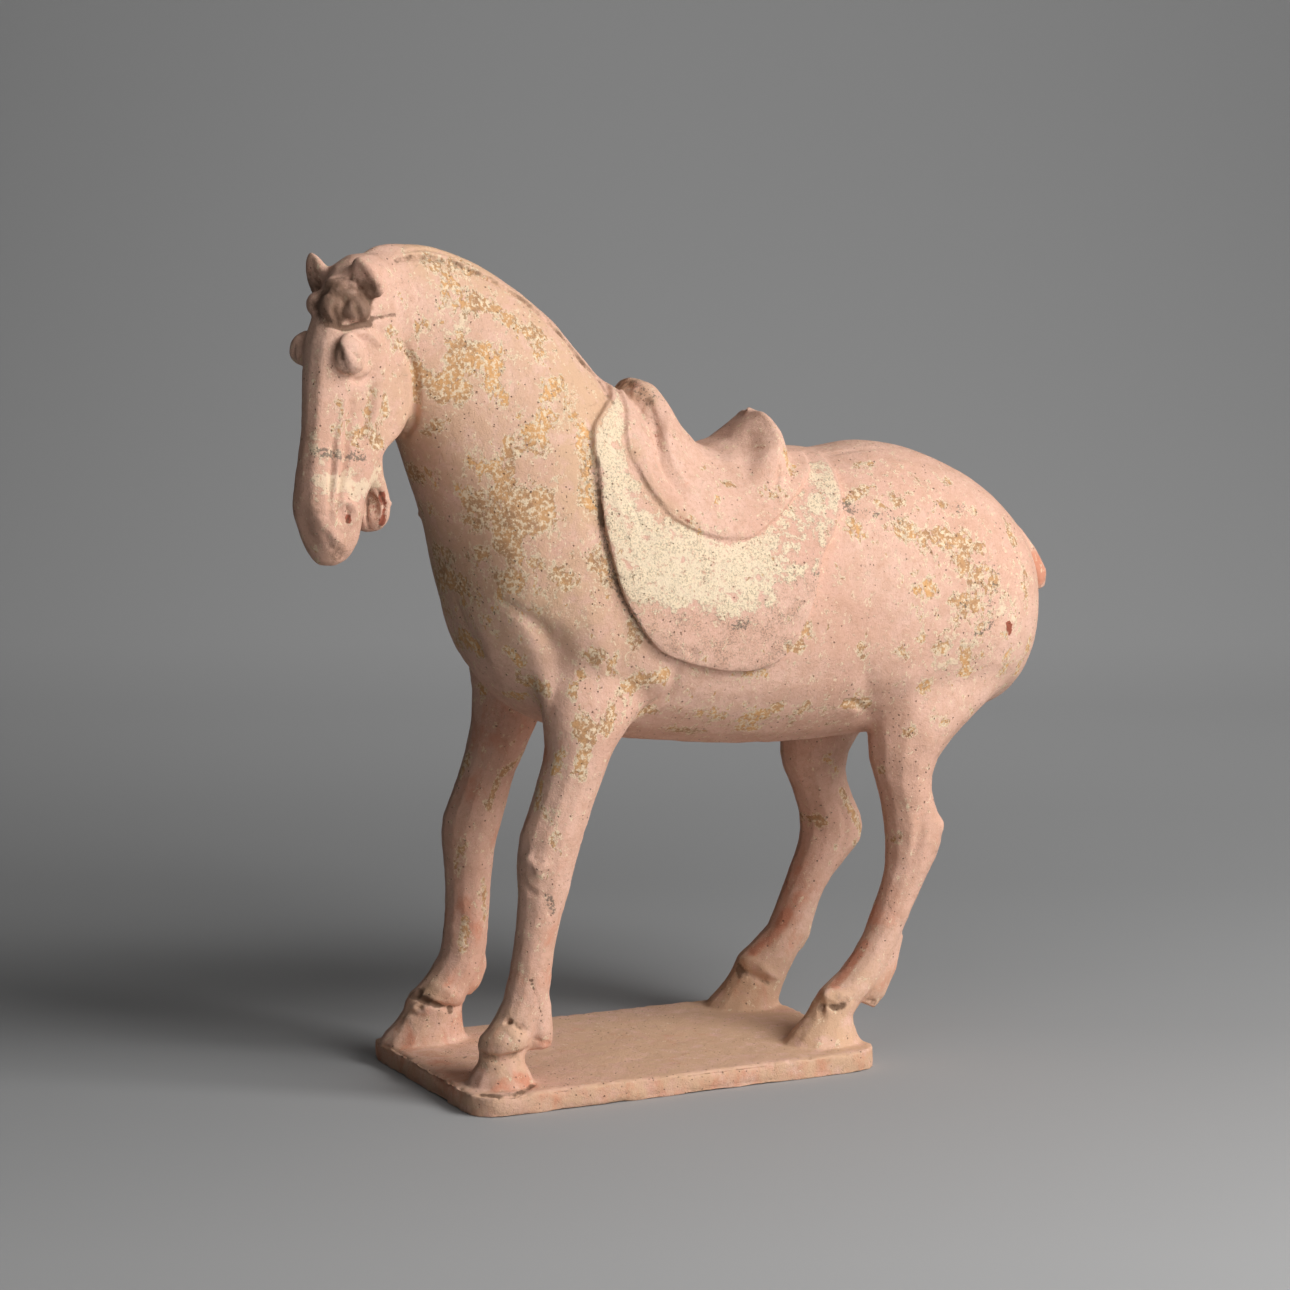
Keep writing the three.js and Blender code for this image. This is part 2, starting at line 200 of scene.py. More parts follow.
@dataclass(frozen=True)
class Viewpoint:
    """Where the photograph was taken from, in parts."""

    azimuth: float = math.radians(-26.1)
    pitch: float = math.radians(7.63)
    distance: float = 2200.0
    target: Point = (12.4, 0.0, 253.3)
    lens: float = 98.23
    sensor: float = 36.0

    @property
    def back(self) -> Vector:
        """Return the direction from the target to the camera."""
        return Vector((math.sin(self.azimuth) * math.cos(self.pitch),
                       -math.cos(self.azimuth) * math.cos(self.pitch), math.sin(self.pitch)))

    @property
    def place(self) -> Vector:
        """Return the camera's place in metres."""
        return placed(self.target) + self.back * self.distance * PART

    def ray(self, pixel: Pixel) -> Vector:
        """Return the direction from the camera through a pixel of the photograph."""
        right = Vector((0.0, 0.0, 1.0)).cross(self.back).normalized()
        upward = self.back.cross(right)
        reach = self.lens / self.sensor * PHOTO_SIZE
        across = (pixel[0] - PHOTO_SIZE / 2) / reach
        above = (PHOTO_SIZE / 2 - pixel[1]) / reach
        return (right * across + upward * above - self.back).normalized()

    def build(self) -> bpy.types.Object:
        """Add the camera and make it the scene's.

        Returns:
            The camera.
        """
        bpy.ops.object.camera_add(location=self.place)
        camera = bpy.context.object
        camera.rotation_mode = "QUATERNION"
        camera.rotation_quaternion = (-self.back).to_track_quat("-Z", "Y")
        camera.data.lens = self.lens
        camera.data.sensor_width = self.sensor
        bpy.context.scene.camera = camera
        return camera


VIEWPOINT = Viewpoint()


class Twin(Enum):
    """Whether a mark has a twin on the side that the photograph doesn't show."""

    NONE = "none"
    BODY = "body"
    HEAD = "head"


@dataclass(frozen=True)
class Mark:
    """Something that follows a path over the clay.

    Args:
        name: What it is.
        path: The pixels of the photograph that it passes.
        radius: How far it reaches to each side, in parts.
        twin: Whether it is repeated on the far side.
    """

    name: str
    path: Path
    radius: float
    twin: Twin = field(default=Twin.NONE, kw_only=True)


@dataclass(frozen=True)
class Stroke(Mark):
    """One pass of a tool or thumb over the wet clay, or a later knock.

    Args:
        height: How far it raises the clay in parts, or cuts into it where negative.
        sharp: Whether it leaves a narrow line and not a soft trough.
        grain: The size in parts of the lumps that the stroke leaves, or 0 for an even one.
        dirt_and_shade: How far it is darkened, from 0 to 1: by soil lodged in it, and by painted shade in its
            crease or hollow.
    """

    height: float
    sharp: bool = False
    grain: float = 0.0
    dirt_and_shade: float = 0.0


class Tone(Enum):
    """What a stain leaves on the clay, named for the mesh attribute that holds its cover."""

    EARTH = "earth"
    CREAM = "cream"
    BUFF = "buff"
    FIRED = "fired"
    # Soil together with painted shade in creases, hollows and on sides turned from the light
    GRIME = "dirt_and_shade"
    SOOT = "soot"
    RED = "red"
    PITS = "pits"


@dataclass(frozen=True)
class Stain(Mark):
    """A stain, a worn place or a remnant of paint.

    Args:
        tone: What it leaves.
        strength: How closely it covers the middle of its path, from 0 to 1; negative wipes away.
    """

    tone: Tone
    strength: float


@dataclass(frozen=True)
class Cover:
    """A layer of saddlery laid over the back: its outline from the side, and how proud it stands."""

    outline: tuple[tuple[float, float], ...]
    thickness: float
    edge_width: float

    def inside(self, spots: np.ndarray) -> np.ndarray:
        """Measure how far spots lie inside the outline as seen from the side; outside is negative."""
        line = smooth_line(list(self.outline), 8, closed=True)
        ring = np.vstack((line, line[:1]))
        flat = spots[:, [0, 2]]
        distance, _ = nearest_on_line(flat, ring)
        crossings = np.zeros(len(flat), bool)
        for (x0, z0), (x1, z1) in zip(ring, ring[1:]):
            straddles = (z0 > flat[:, 1]) != (z1 > flat[:, 1])
            if z0 != z1:
                crossings ^= straddles & (flat[:, 0] < x0 + (flat[:, 1] - z0) * (x1 - x0) / (z1 - z0))
        return np.where(crossings, distance, -distance)


CLOTH = Cover(((-8, 432), (-24, 413), (-45, 394), (-49, 365), (-46, 325), (-36, 290), (-12, 260), (36, 244),
               (68, 252), (86, 280), (98, 312), (120, 346), (122, 384), (106, 412), (40, 440)), 3.5, 1.2)
PAD = Cover(((-2, 432), (-20, 398), (-23, 374), (-8, 345), (22, 328), (50, 327), (82, 345), (106, 364),
             (116, 386), (106, 412), (50, 440)), 2.5, 1.0)

BODY_STROKES = (
    Stroke("groove under the clipped mane",
           ((396, 261), (402, 259), (420, 257), (440, 259), (460, 265), (482, 275), (502, 286), (525, 302),
            (545, 320), (565, 340), (582, 362), (600, 382), (613, 403)), 3.6, -3.0, sharp=True, dirt_and_shade=0.85,
           twin=Twin.BODY),
    Stroke("second groove near the ears", ((402, 252), (425, 249), (450, 255), (478, 268)), 2.4, -1.2,
           sharp=True, dirt_and_shade=0.45),
    Stroke("short cut behind the cheek", ((411, 280), (417, 289), (419, 306)), 1.8, -0.7, sharp=True,
           dirt_and_shade=0.3),
    Stroke("hollow between chest and foreleg", ((541, 622), (556, 650), (556, 682), (549, 708)), 15.0, -4.0,
           twin=Twin.BODY),
    Stroke("fold above the near foreleg", ((500, 600), (522, 614), (541, 632), (550, 650)), 7.0, -1.6),
    Stroke("breast muscle", ((470, 610), (487, 640), (494, 664)), 14.0, 1.6, twin=Twin.BODY),
    Stroke("fold between the breast muscles", ((455, 600), (468, 632), (489, 660)), 5.0, -1.3),
    Stroke("shoulder muscle", ((585, 610), (600, 645), (603, 680)), 18.0, 2.2, twin=Twin.BODY),
    Stroke("point of the elbow", ((656, 682),), 17.0, 2.2, twin=Twin.BODY),
    Stroke("crease behind the elbow", ((676, 672), (672, 688), (658, 702), (640, 714)), 6.0, -2.6, dirt_and_shade=0.35,
           twin=Twin.BODY),
    Stroke("hollow before the stifle", ((866, 670), (868, 695), (870, 722)), 11.0, -1.8, twin=Twin.BODY),
    Stroke("flank fold", ((846, 702), (856, 704), (864, 712)), 4.5, -1.8, dirt_and_shade=0.5, twin=Twin.BODY),
    Stroke("thigh muscle", ((905, 668), (915, 710)), 22.0, 1.8, twin=Twin.BODY),
    Stroke("cut across the flank", ((848, 583), (882, 541)), 1.7, -0.5, sharp=True, dirt_and_shade=0.1),
    Stroke("line of the croup", ((822, 455), (850, 451), (890, 449)), 4.0, -0.6),
)
SADDLE_STROKES = (
    Stroke("dark crease along the cloth's front",
           ((597, 458), (599, 480), (600, 505), (603, 535), (609, 558), (617, 585), (632, 617), (651, 643)),
           3.2, -1.7, sharp=True, dirt_and_shade=0.8, twin=Twin.BODY),
    Stroke("crease under the cloth", ((651, 643), (664, 654), (680, 661), (700, 669), (738, 674), (772, 668)),
           2.6, -1.0, sharp=True, dirt_and_shade=0.55, twin=Twin.BODY),
    Stroke("crease behind the cloth", ((774, 667), (797, 645), (811, 612), (819, 575)), 2.2, -0.5, sharp=True,
           dirt_and_shade=0.15, twin=Twin.BODY),
    Stroke("line around the pad's front",
           ((629, 420), (633, 450), (641, 474), (652, 492), (668, 509), (690, 523), (712, 533)), 2.2, -1.2,
           sharp=True, dirt_and_shade=0.6, twin=Twin.BODY),
    Stroke("line under the pad", ((712, 533), (735, 537), (760, 532), (778, 520)), 2.0, -0.8, sharp=True,
           dirt_and_shade=0.4, twin=Twin.BODY),
    Stroke("line behind the pad", ((778, 520), (790, 505), (800, 488), (806, 474)), 2.0, -0.6, sharp=True,
           dirt_and_shade=0.25, twin=Twin.BODY),
    Stroke("recess before the saddle flap",
           ((650, 405), (656, 425), (657, 442), (661, 462), (670, 480), (683, 496)), 5.0, -2.2, dirt_and_shade=0.35,
           twin=Twin.BODY),
    Stroke("edge of the saddle flap", ((668, 418), (668, 440), (673, 462), (684, 482), (697, 497)), 4.0, 1.2,
           twin=Twin.BODY),
    Stroke("fluted pad below the pommel", ((640, 432), (645, 460), (655, 484)), 4.0, 0.8, twin=Twin.BODY),
    Stroke("dished face of the cantle", ((748, 430), (752, 452), (748, 476)), 13.0, -2.0, twin=Twin.BODY),
    Stroke("rim of the cantle", ((746, 413), (762, 414), (774, 428), (779, 450), (776, 476)), 4.5, 1.1,
           twin=Twin.BODY),
    Stroke("step behind the cantle", ((781, 450), (779, 470), (774, 490)), 3.0, -1.8, dirt_and_shade=0.5,
           twin=Twin.BODY),
    Stroke("broken nub on the cantle", ((750, 411),), 3.5, 2.2, grain=2.0, dirt_and_shade=0.8),
    Stroke("worn top of the pommel", ((622, 384), (635, 390), (645, 402)), 9.0, -1.0, grain=4.0, dirt_and_shade=0.15),
    Stroke("soft pleats of the cloth", ((612, 470), (620, 510), (634, 548)), 4.0, 0.7),
    Stroke("soft pleat beside it", ((624, 470), (634, 510), (650, 545)), 3.0, -0.6),
    Stroke("dent in the cloth's foot", ((690, 650), (697, 660)), 5.0, -1.2, dirt_and_shade=0.2),
)
HEAD_STROKES = (
    Stroke("rough forelock", ((322, 305), (345, 302), (366, 306)), 17.0, 1.6, grain=5.0, dirt_and_shade=0.45),
    Stroke("lumps of the forelock", ((330, 292), (350, 286), (366, 292)), 13.0, 1.9, grain=3.0, dirt_and_shade=0.4),
    Stroke("crease under the forelock", ((328, 323), (345, 329), (358, 325), (369, 324)), 3.5, -1.8,
           dirt_and_shade=0.8),
    Stroke("crease between the locks", ((336, 300), (334, 312), (338, 322)), 3.0, -1.6, dirt_and_shade=0.6),
    Stroke("crease between the side locks", ((354, 300), (358, 312), (360, 321)), 3.0, -1.4, dirt_and_shade=0.6),
    Stroke("crease towards the neck", ((371, 319), (382, 317), (395, 315)), 2.6, -1.8, sharp=True, dirt_and_shade=0.9,
           twin=Twin.HEAD),
    Stroke("hollow of the near ear", ((359, 268), (365, 280), (374, 292)), 5.2, -1.4, dirt_and_shade=0.2),
    Stroke("hollow of the far ear", ((311, 260), (316, 275), (322, 289)), 5.2, -1.2, dirt_and_shade=0.15),
    Stroke("brow", ((341, 344), (351, 334), (366, 333), (379, 343)), 5.0, 2.4, twin=Twin.HEAD),
    Stroke("hollow over the eye", ((376, 330), (386, 336), (390, 346)), 7.0, -1.6, twin=Twin.HEAD),
    Stroke("hollow before the eye", ((339, 347), (341, 360), (349, 373)), 5.0, -2.4, dirt_and_shade=0.55,
           twin=Twin.HEAD),
    Stroke("lower lid", ((346, 374), (356, 381), (367, 379), (375, 368)), 3.4, -1.7, dirt_and_shade=0.4,
           twin=Twin.HEAD),
    Stroke("pouch under the eye", ((358, 366), (366, 371), (372, 366)), 4.0, 1.0, twin=Twin.HEAD),
    Stroke("fold of the eyelid", ((349, 348), (358, 357), (362, 368)), 2.4, -1.0, sharp=True, dirt_and_shade=0.5,
           twin=Twin.HEAD),
    Stroke("groove down the nose", ((334, 437), (331, 483), (330, 516)), 3.4, -2.0, dirt_and_shade=0.25),
    Stroke("groove beside the nose", ((352, 405), (346, 449), (341, 483), (337, 508)), 3.8, -2.4, dirt_and_shade=0.4,
           twin=Twin.HEAD),
    Stroke("ridge beside the nose", ((345, 400), (338, 445), (335, 490)), 3.2, 1.3, twin=Twin.HEAD),
    Stroke("groove down the cheek", ((372, 385), (369, 410), (361, 440)), 4.5, -1.8, dirt_and_shade=0.25,
           twin=Twin.HEAD),
    Stroke("cheek bone", ((384, 360), (379, 395), (371, 432)), 7.0, 1.4, twin=Twin.HEAD),
    Stroke("flat side of the muzzle", ((356, 470), (354, 490), (352, 506)), 9.0, -1.6, twin=Twin.HEAD),
    Stroke("edge of the upper lip", ((316, 508), (324, 524), (333, 536), (345, 545)), 5.0, 1.7),
    Stroke("flat front of the muzzle", ((303, 515), (308, 535), (319, 549)), 10.0, -1.8),
    Stroke("dent beside the lip", ((336, 552), (345, 558)), 5.0, -1.0, dirt_and_shade=0.2),
    Stroke("full side of the far ear", ((331, 281), (327, 266)), 8.0, 3.0),
    Stroke("edge of the jowl", ((405, 345), (411.5, 360), (416, 378), (416.5, 395), (416, 410), (413, 424),
            (406, 435)), 4.0, -3.0, dirt_and_shade=0.3, twin=Twin.HEAD),
    Stroke("rim of the jowl", ((403, 362), (408, 385), (408, 408), (400, 426)), 5.0, 1.3, twin=Twin.HEAD),
    Stroke("lip rim", ((384, 487), (390, 503), (390, 519), (384, 530)), 2.6, 1.0),
    Stroke("tongue from the upper lip", ((370, 490), (368, 504), (367, 517), (369, 528)), 2.4, -1.8,
           dirt_and_shade=0.9),
    Stroke("tongue from the jaw", ((378, 490), (384, 503), (384, 517), (378, 528)), 2.2, -1.6, dirt_and_shade=0.8),
    Stroke("slot of the nostril", ((347, 507), (349.5, 514), (347, 522)), 2.2, -2.6, dirt_and_shade=0.9,
           twin=Twin.HEAD),
    Stroke("rim of the nostril", ((338, 508), (343, 502), (352, 503), (356, 514), (352, 524)), 3.2, 1.6,
           twin=Twin.HEAD),
    Stroke("crease round the chin", ((316, 505), (325, 523), (330, 545)), 4.0, -0.9, dirt_and_shade=0.3),
    Stroke("edge between brow and cheek", ((324, 372), (321, 410), (318, 450), (314, 492)), 5.0, 0.7),
)
LEG_STROKES = (
    Stroke("knee cap", ((536, 866),), 12.0, 2.4, grain=5.0),
    Stroke("knee ridge", ((522, 858), (534, 864), (548, 868)), 4.5, 1.8),
    Stroke("groove under the knee", ((524, 884), (533, 893), (546, 896)), 4.0, -1.2, dirt_and_shade=0.2),
    Stroke("dents in the cannon", ((540, 880), (548, 903), (551, 920)), 5.0, -0.8, grain=4.0),
    Stroke("knob over the near fore hoof", ((489, 1034), (503, 1034), (518, 1039)), 10.0, 3.2, grain=9.0),
    Stroke("crease over that knob", ((493, 1019), (508, 1022), (525, 1031)), 3.4, -2.6, dirt_and_shade=0.6),
    Stroke("crease under that knob", ((481, 1053), (497, 1059), (511, 1057), (526, 1050)), 4.4, -3.6,
           dirt_and_shade=0.75),
    Stroke("lumps of the near fore hoof", ((488, 1075), (505, 1070), (522, 1072)), 10.0, 0.9, grain=6.0),
    Stroke("crevice of the far fore hoof", ((413, 995), (424, 1000), (436, 1005), (450, 1008), (463, 1006)),
           3.6, -2.8, dirt_and_shade=0.9),
    Stroke("pit in that crevice", ((419, 992),), 4.5, -2.4, dirt_and_shade=0.7),
    Stroke("coronet of the far fore hoof", ((431, 985), (446, 990), (462, 996)), 7.0, 2.6, grain=8.0),
    Stroke("knobby ridge of the far fore hoof", ((404, 1024), (414, 1012), (428, 1006)), 6.0, 2.4, grain=3.5,
           dirt_and_shade=0.2),
    Stroke("crevice of the near hind hoof", ((809, 1002), (822, 1008), (836, 1008), (846, 1003)), 4.2, -2.4,
           dirt_and_shade=0.6),
    Stroke("coronet of the near hind hoof", ((815, 993), (830, 992), (845, 991)), 8.0, 3.0, grain=7.0),
    Stroke("crack beside that coronet", ((849, 989), (854, 1000), (858, 1012)), 2.6, -1.4, sharp=True,
           dirt_and_shade=0.5),
    Stroke("ridge round the near hind hoof", ((806, 1022), (826, 1018), (852, 1022)), 4.5, 1.1, grain=7.0),
    Stroke("pits in the near hind spur", ((866, 1000), (876, 1002)), 4.0, -1.0, grain=2.5, dirt_and_shade=0.35),
    Stroke("coronet of the far hind hoof", ((742, 958), (754, 963), (766, 971), (776, 978)), 5.0, 2.4,
           grain=8.0),
    Stroke("groove under that coronet", ((740, 969), (753, 975), (768, 983)), 3.6, -2.0, dirt_and_shade=0.35),
    Stroke("spur seam of the near foreleg", ((528, 1042), (538, 1040), (549, 1044)), 2.4, -1.2, dirt_and_shade=0.4),
    Stroke("hock point of the near hind leg", ((941, 826),), 9.0, 1.6),
    Stroke("tendon groove of the near hind leg", ((925, 800), (921, 830), (910, 862)), 6.0, -1.5),
    Stroke("tendon groove of the far hind leg", ((838, 800), (846, 826), (838, 858)), 4.5, -1.3, dirt_and_shade=0.2),
    Stroke("firing crack in the slab's corner", ((482, 1095), (500, 1096), (519, 1093), (533, 1086)), 3.2,
           -2.6, sharp=True, dirt_and_shade=1.0),
    Stroke("chipped corner of the slab", ((418, 1064), (440, 1078), (462, 1090)), 5.0, -1.8, grain=4.0),
)
PIN_HOLES = tuple(
    Stroke("pin hole in the near foreleg", ((531 + 1.2 * k, 980 + 3.9 * k),), 1.3, -1.0, sharp=True,
           dirt_and_shade=1.0)
    for k in range(10)
)
STROKES = BODY_STROKES + SADDLE_STROKES + HEAD_STROKES + LEG_STROKES + PIN_HOLES

# Each row: the pixels that a stain passes, its radius in parts, and how closely it covers
OCHRE_FLAKES: tuple[tuple[Path, float, float], ...] = (
    (((450, 288), (466, 304)), 11, 0.75), (((478, 300), (497, 312), (520, 327), (541, 336)), 6, 1.0),
    (((540, 352),), 9, 0.75), (((462, 350), (490, 360)), 11, 0.95), (((450, 372), (456, 392)), 11, 1.0),
    (((492, 374), (494, 390), (503, 400)), 5, 1.15), (((548, 385), (564, 392), (572, 410)), 7, 0.8),
    (((548, 398), (543, 414)), 5, 0.9), (((517, 416),), 4, 1.1), (((536, 426), (556, 422)), 7, 0.75),
    (((503, 480), (506, 452), (522, 440), (540, 446)), 8, 1.0), (((474, 458), (484, 472)), 7, 0.8),
    (((462, 488), (474, 496)), 6, 0.85), (((480, 512), (505, 506), (535, 505)), 13, 1.05),
    (((512, 528), (538, 515)), 12, 1.25), (((545, 492), (547, 505)), 4, 1.3),
    (((582, 430), (586, 465), (588, 505)), 6, 0.95), (((421, 372), (424, 382)), 6, 1.0),
    (((436, 393),), 7, 0.9), (((412, 472), (430, 478)), 7, 0.85), (((432, 510),), 6, 0.9),
    (((444, 550), (448, 556)), 6, 0.85), (((479, 552),), 6, 1.05), (((502, 544), (513, 554)), 7, 1.0),
    (((535, 563),), 5, 1.0), (((560, 574), (566, 584)), 5, 1.0), (((504, 584), (514, 578)), 6, 0.95),
    (((606, 574), (598, 560)), 8, 0.85), (((427, 430), (436, 424)), 6, 0.85), (((421, 324),), 6, 0.8),
    (((410, 352), (417, 372)), 4, 0.85), (((428, 262), (470, 270)), 7, 0.6),
    (((588, 654), (598, 657)), 6, 1.1), (((615, 656),), 4, 1.0), (((611, 664), (611, 672)), 3.5, 1.1),
    (((628, 688), (638, 680)), 6, 1.15), (((652, 678), (664, 676)), 5, 1.1), (((582, 675),), 4, 1.0),
    (((572, 684), (572, 696)), 4, 1.1), (((611, 712), (607, 728)), 5, 1.05),
    (((580, 718), (577, 732)), 5, 1.05), (((590, 728), (586, 748), (579, 774)), 5, 1.25),
    (((559, 756), (555, 770)), 4, 1.15), (((540, 784), (537, 806)), 4, 1.15),
    (((466, 638), (480, 650)), 6, 1.1), (((510, 650), (520, 662)), 5, 1.1),
    (((522, 680), (545, 690)), 6, 1.1), (((506, 694), (540, 706)), 5, 0.95),
    (((633, 620), (636, 644)), 5, 1.0), (((446, 575), (462, 585)), 8, 0.8),
    (((672, 728), (700, 732)), 5, 0.8), (((640, 712), (650, 710)), 4, 1.1),
    (((747, 719), (776, 709)), 6, 1.05), (((800, 711), (806, 706)), 5, 0.95),
    (((742, 728), (756, 727)), 5, 0.85), (((846, 702), (866, 704)), 5, 1.1),
    (((700, 712), (722, 716)), 6, 0.7), (((862, 647), (864, 655)), 4, 0.95),
    (((802, 632), (808, 626)), 5, 1.0), (((790, 650), (800, 645)), 4, 1.1),
    (((738, 676), (760, 674)), 5, 0.7), (((848, 500), (862, 490)), 5, 0.95), (((879, 503),), 4, 1.0),
    (((898, 496), (897, 503)), 4, 0.9), (((853, 526), (858, 534)), 7, 0.85),
    (((856, 466), (868, 464)), 5, 0.8), (((900, 530), (920, 540), (945, 540)), 8, 0.85),
    (((955, 541), (976, 548)), 6, 0.9), (((941, 503),), 5, 0.8), (((972, 510),), 5, 0.7),
    (((944, 480), (950, 484)), 5, 0.8), (((960, 560), (968, 572)), 8, 0.7),
    (((922, 588), (928, 592)), 8, 0.85), (((984, 570), (992, 585)), 7, 0.75),
    (((958, 606), (976, 602)), 7, 0.8), (((901, 652),), 5, 1.2), (((920, 638),), 5, 1.0),
    (((936, 650), (948, 646)), 4, 0.9), (((924, 686),), 6, 1.15), (((966, 656), (965, 672)), 5, 1.0),
    (((1008, 656), (1002, 672)), 4, 0.9), (((943, 723),), 5, 1.1), (((910, 733),), 5, 1.1),
    (((1012, 540), (1006, 520)), 6, 0.75), (((1022, 560), (1026, 590)), 5, 0.7),
    (((1030, 640), (1016, 672)), 5, 0.7), (((972, 712),), 4, 0.9), (((1000, 690),), 6, 0.7),
    (((352, 425), (356, 440)), 5, 0.85), (((365, 430), (378, 442)), 6, 0.95),
    (((385, 400), (381, 420)), 5, 0.8), (((339, 405), (337, 430)), 4, 0.8),
    (((370, 395), (366, 412)), 4, 0.8), (((390, 330), (400, 345)), 5, 0.7),
    (((415, 372), (417, 400)), 3, 0.9), (((520, 757), (513, 785), (505, 812)), 3, 1.2),
    (((483, 880), (485, 915)), 3, 1.0), (((466, 920), (462, 950)), 4, 0.9),
    (((458, 868), (466, 845)), 5, 0.8), (((841, 790), (852, 812), (860, 832)), 3.5, 1.1),
    (((856, 845), (846, 860)), 5, 0.95), (((548, 812), (560, 850)), 5, 0.6), (((782, 752),), 4, 0.9),
    (((829, 756), (834, 770)), 4, 0.8), (((704, 466),), 4, 0.9), (((724, 482), (731, 484)), 4, 1.0),
    (((786, 455), (794, 470)), 6, 0.8), (((690, 520), (700, 530)), 5, 0.6),
    (((764, 492), (790, 488)), 7, 0.6), (((718, 500),), 4, 0.8),
    (((900, 500), (950, 535), (1000, 590)), 28, 0.2), (((940, 600), (990, 640)), 26, 0.18),
    (((450, 290), (500, 340)), 34, 0.14), (((420, 560), (520, 600), (580, 580)), 34, 0.2),
    (((620, 700), (760, 722), (860, 700)), 20, 0.18), (((950, 680), (970, 640)), 22, 0.15),
)
CREAM_REMNANTS: tuple[tuple[Path, float, float], ...] = (
    (((610, 480), (630, 545), (660, 590)), 24, 0.45), (((690, 560), (740, 575)), 30, 0.5),
    (((640, 470), (660, 540)), 22, -0.1), (((790, 540), (800, 500)), 24, 0.15),
    (((822, 476), (836, 510)), 16, 0.3),
    (((636, 640), (676, 646), (716, 656), (760, 654), (804, 625)), 26, -0.95),
    (((655, 655), (780, 668)), 18, -0.8), (((812, 560), (822, 520)), 22, -0.15),
    (((700, 521), (735, 524)), 8, 0.55), (((455, 280), (470, 320), (490, 350)), 26, 0.5),
    (((430, 300), (450, 350)), 22, 0.5), (((640, 425), (655, 470), (690, 505)), 7, 0.35),
    (((322, 466), (345, 472), (366, 478)), 18, 0.95), (((330, 490), (350, 500), (366, 500)), 14, 0.62),
    (((905, 545), (940, 535), (965, 545)), 13, 0.62), (((985, 570), (996, 600)), 12, 0.55),
    (((930, 655), (955, 640), (975, 645)), 7, 0.9), (((935, 668), (955, 660)), 4, 1.0),
    (((1000, 608), (1012, 616)), 5, 0.9), (((1016, 620), (1010, 660)), 4, 0.7),
    (((860, 470), (900, 480), (940, 500)), 12, 0.42), (((618, 400), (612, 420), (600, 440)), 10, 0.35),
    (((404, 330), (414, 360)), 8, 0.5), (((560, 420), (590, 440)), 16, 0.45),
    (((470, 620), (500, 600)), 14, 0.3), (((660, 400), (672, 415)), 7, 0.4),
    (((557, 846), (562, 826)), 6, 0.7), (((575, 850), (582, 820)), 6, 0.5),
    (((870, 700), (880, 720)), 8, 0.3),
)
BUFF_TINTS: tuple[tuple[Path, float, float], ...] = (
    (((430, 258), (480, 275), (530, 320), (590, 400)), 24, 0.8),
    (((450, 410), (520, 470), (560, 540)), 60, 0.5), (((580, 430), (585, 500)), 16, 0.75),
    (((450, 560), (520, 620)), 35, 0.35), (((600, 600), (620, 640)), 30, 0.3),
    (((600, 400), (606, 440)), 12, 0.7), (((628, 440), (650, 500), (690, 525)), 8, 0.5),
    (((650, 395), (630, 385)), 12, 0.5), (((560, 1030), (700, 1040), (850, 1030)), 60, 0.45),
    (((830, 1020), (800, 1035)), 20, 0.6), (((500, 1030), (510, 1060)), 18, 0.6),
    (((430, 1010), (420, 1030)), 18, 0.35), (((750, 980), (740, 1000)), 22, 0.3),
)
FIRED_TINTS: tuple[tuple[Path, float, float], ...] = (
    (((524, 960), (546, 935)), 24, 0.22), (((540, 960), (545, 985)), 14, 0.3),
    (((440, 945), (460, 965)), 18, 0.35), (((472, 715), (500, 725), (528, 722)), 20, 0.6),
    (((480, 740), (470, 790)), 12, 0.52), (((835, 985), (850, 965), (864, 945)), 5, 0.9),
    (((890, 905), (910, 895)), 14, 0.25), (((800, 900), (790, 930)), 14, 0.52),
    (((785, 880), (800, 860)), 12, 0.38), (((1036, 560), (1040, 575)), 9, 1.7),
    (((500, 1090), (515, 1083), (530, 1084)), 7, 0.9), (((880, 462), (896, 460)), 5, 0.45),
    (((960, 568), (970, 560)), 8, 0.45), (((928, 604),), 5, 0.45), (((420, 1045), (470, 1085)), 12, 0.25),
    (((540, 1042), (550, 1046)), 4, 0.6), (((310, 262), (306, 285)), 8, 0.38),
    (((480, 1000), (462, 970)), 8, 0.3), (((560, 960), (548, 925)), 8, 0.38),
    (((380, 1030), (400, 1040)), 12, 0.15), (((460, 1020), (450, 1036)), 8, 0.3),
)
# Soil together with painted shade: these darken the forelock, the hollows of the eyes and ears, the sides of
# the face and muzzle turned from the light, the saddle's recesses, the hollow before the near foreleg, and
# the crevices of the legs and hooves
DIRT_AND_PAINTED_SHADE: tuple[tuple[Path, float, float], ...] = (
    (((322, 305), (345, 298), (366, 306)), 18, 0.75), (((338, 345), (345, 362)), 8, 0.5),
    (((304, 365), (309, 385), (306, 420), (303, 480)), 7, 0.5),
    (((312, 520), (320, 545), (335, 555)), 11, 0.55), (((362, 275), (372, 290)), 8, 0.25),
    (((314, 270), (320, 285)), 7, 0.2), (((622, 380), (640, 396)), 10, 0.3),
    (((650, 400), (654, 430)), 5, 0.4), (((600, 465), (604, 520)), 4, 0.4),
    (((740, 425), (760, 440), (765, 460)), 10, 0.15), (((782, 455), (790, 470)), 8, 0.15),
    (((840, 1006), (815, 1006)), 5, 0.5), (((870, 1002),), 7, 0.4),
    (((530, 960), (525, 1000), (515, 1020)), 6, 0.35), (((415, 995), (430, 1002)), 6, 0.4),
    (((545, 640), (552, 690)), 12, 0.3),
)
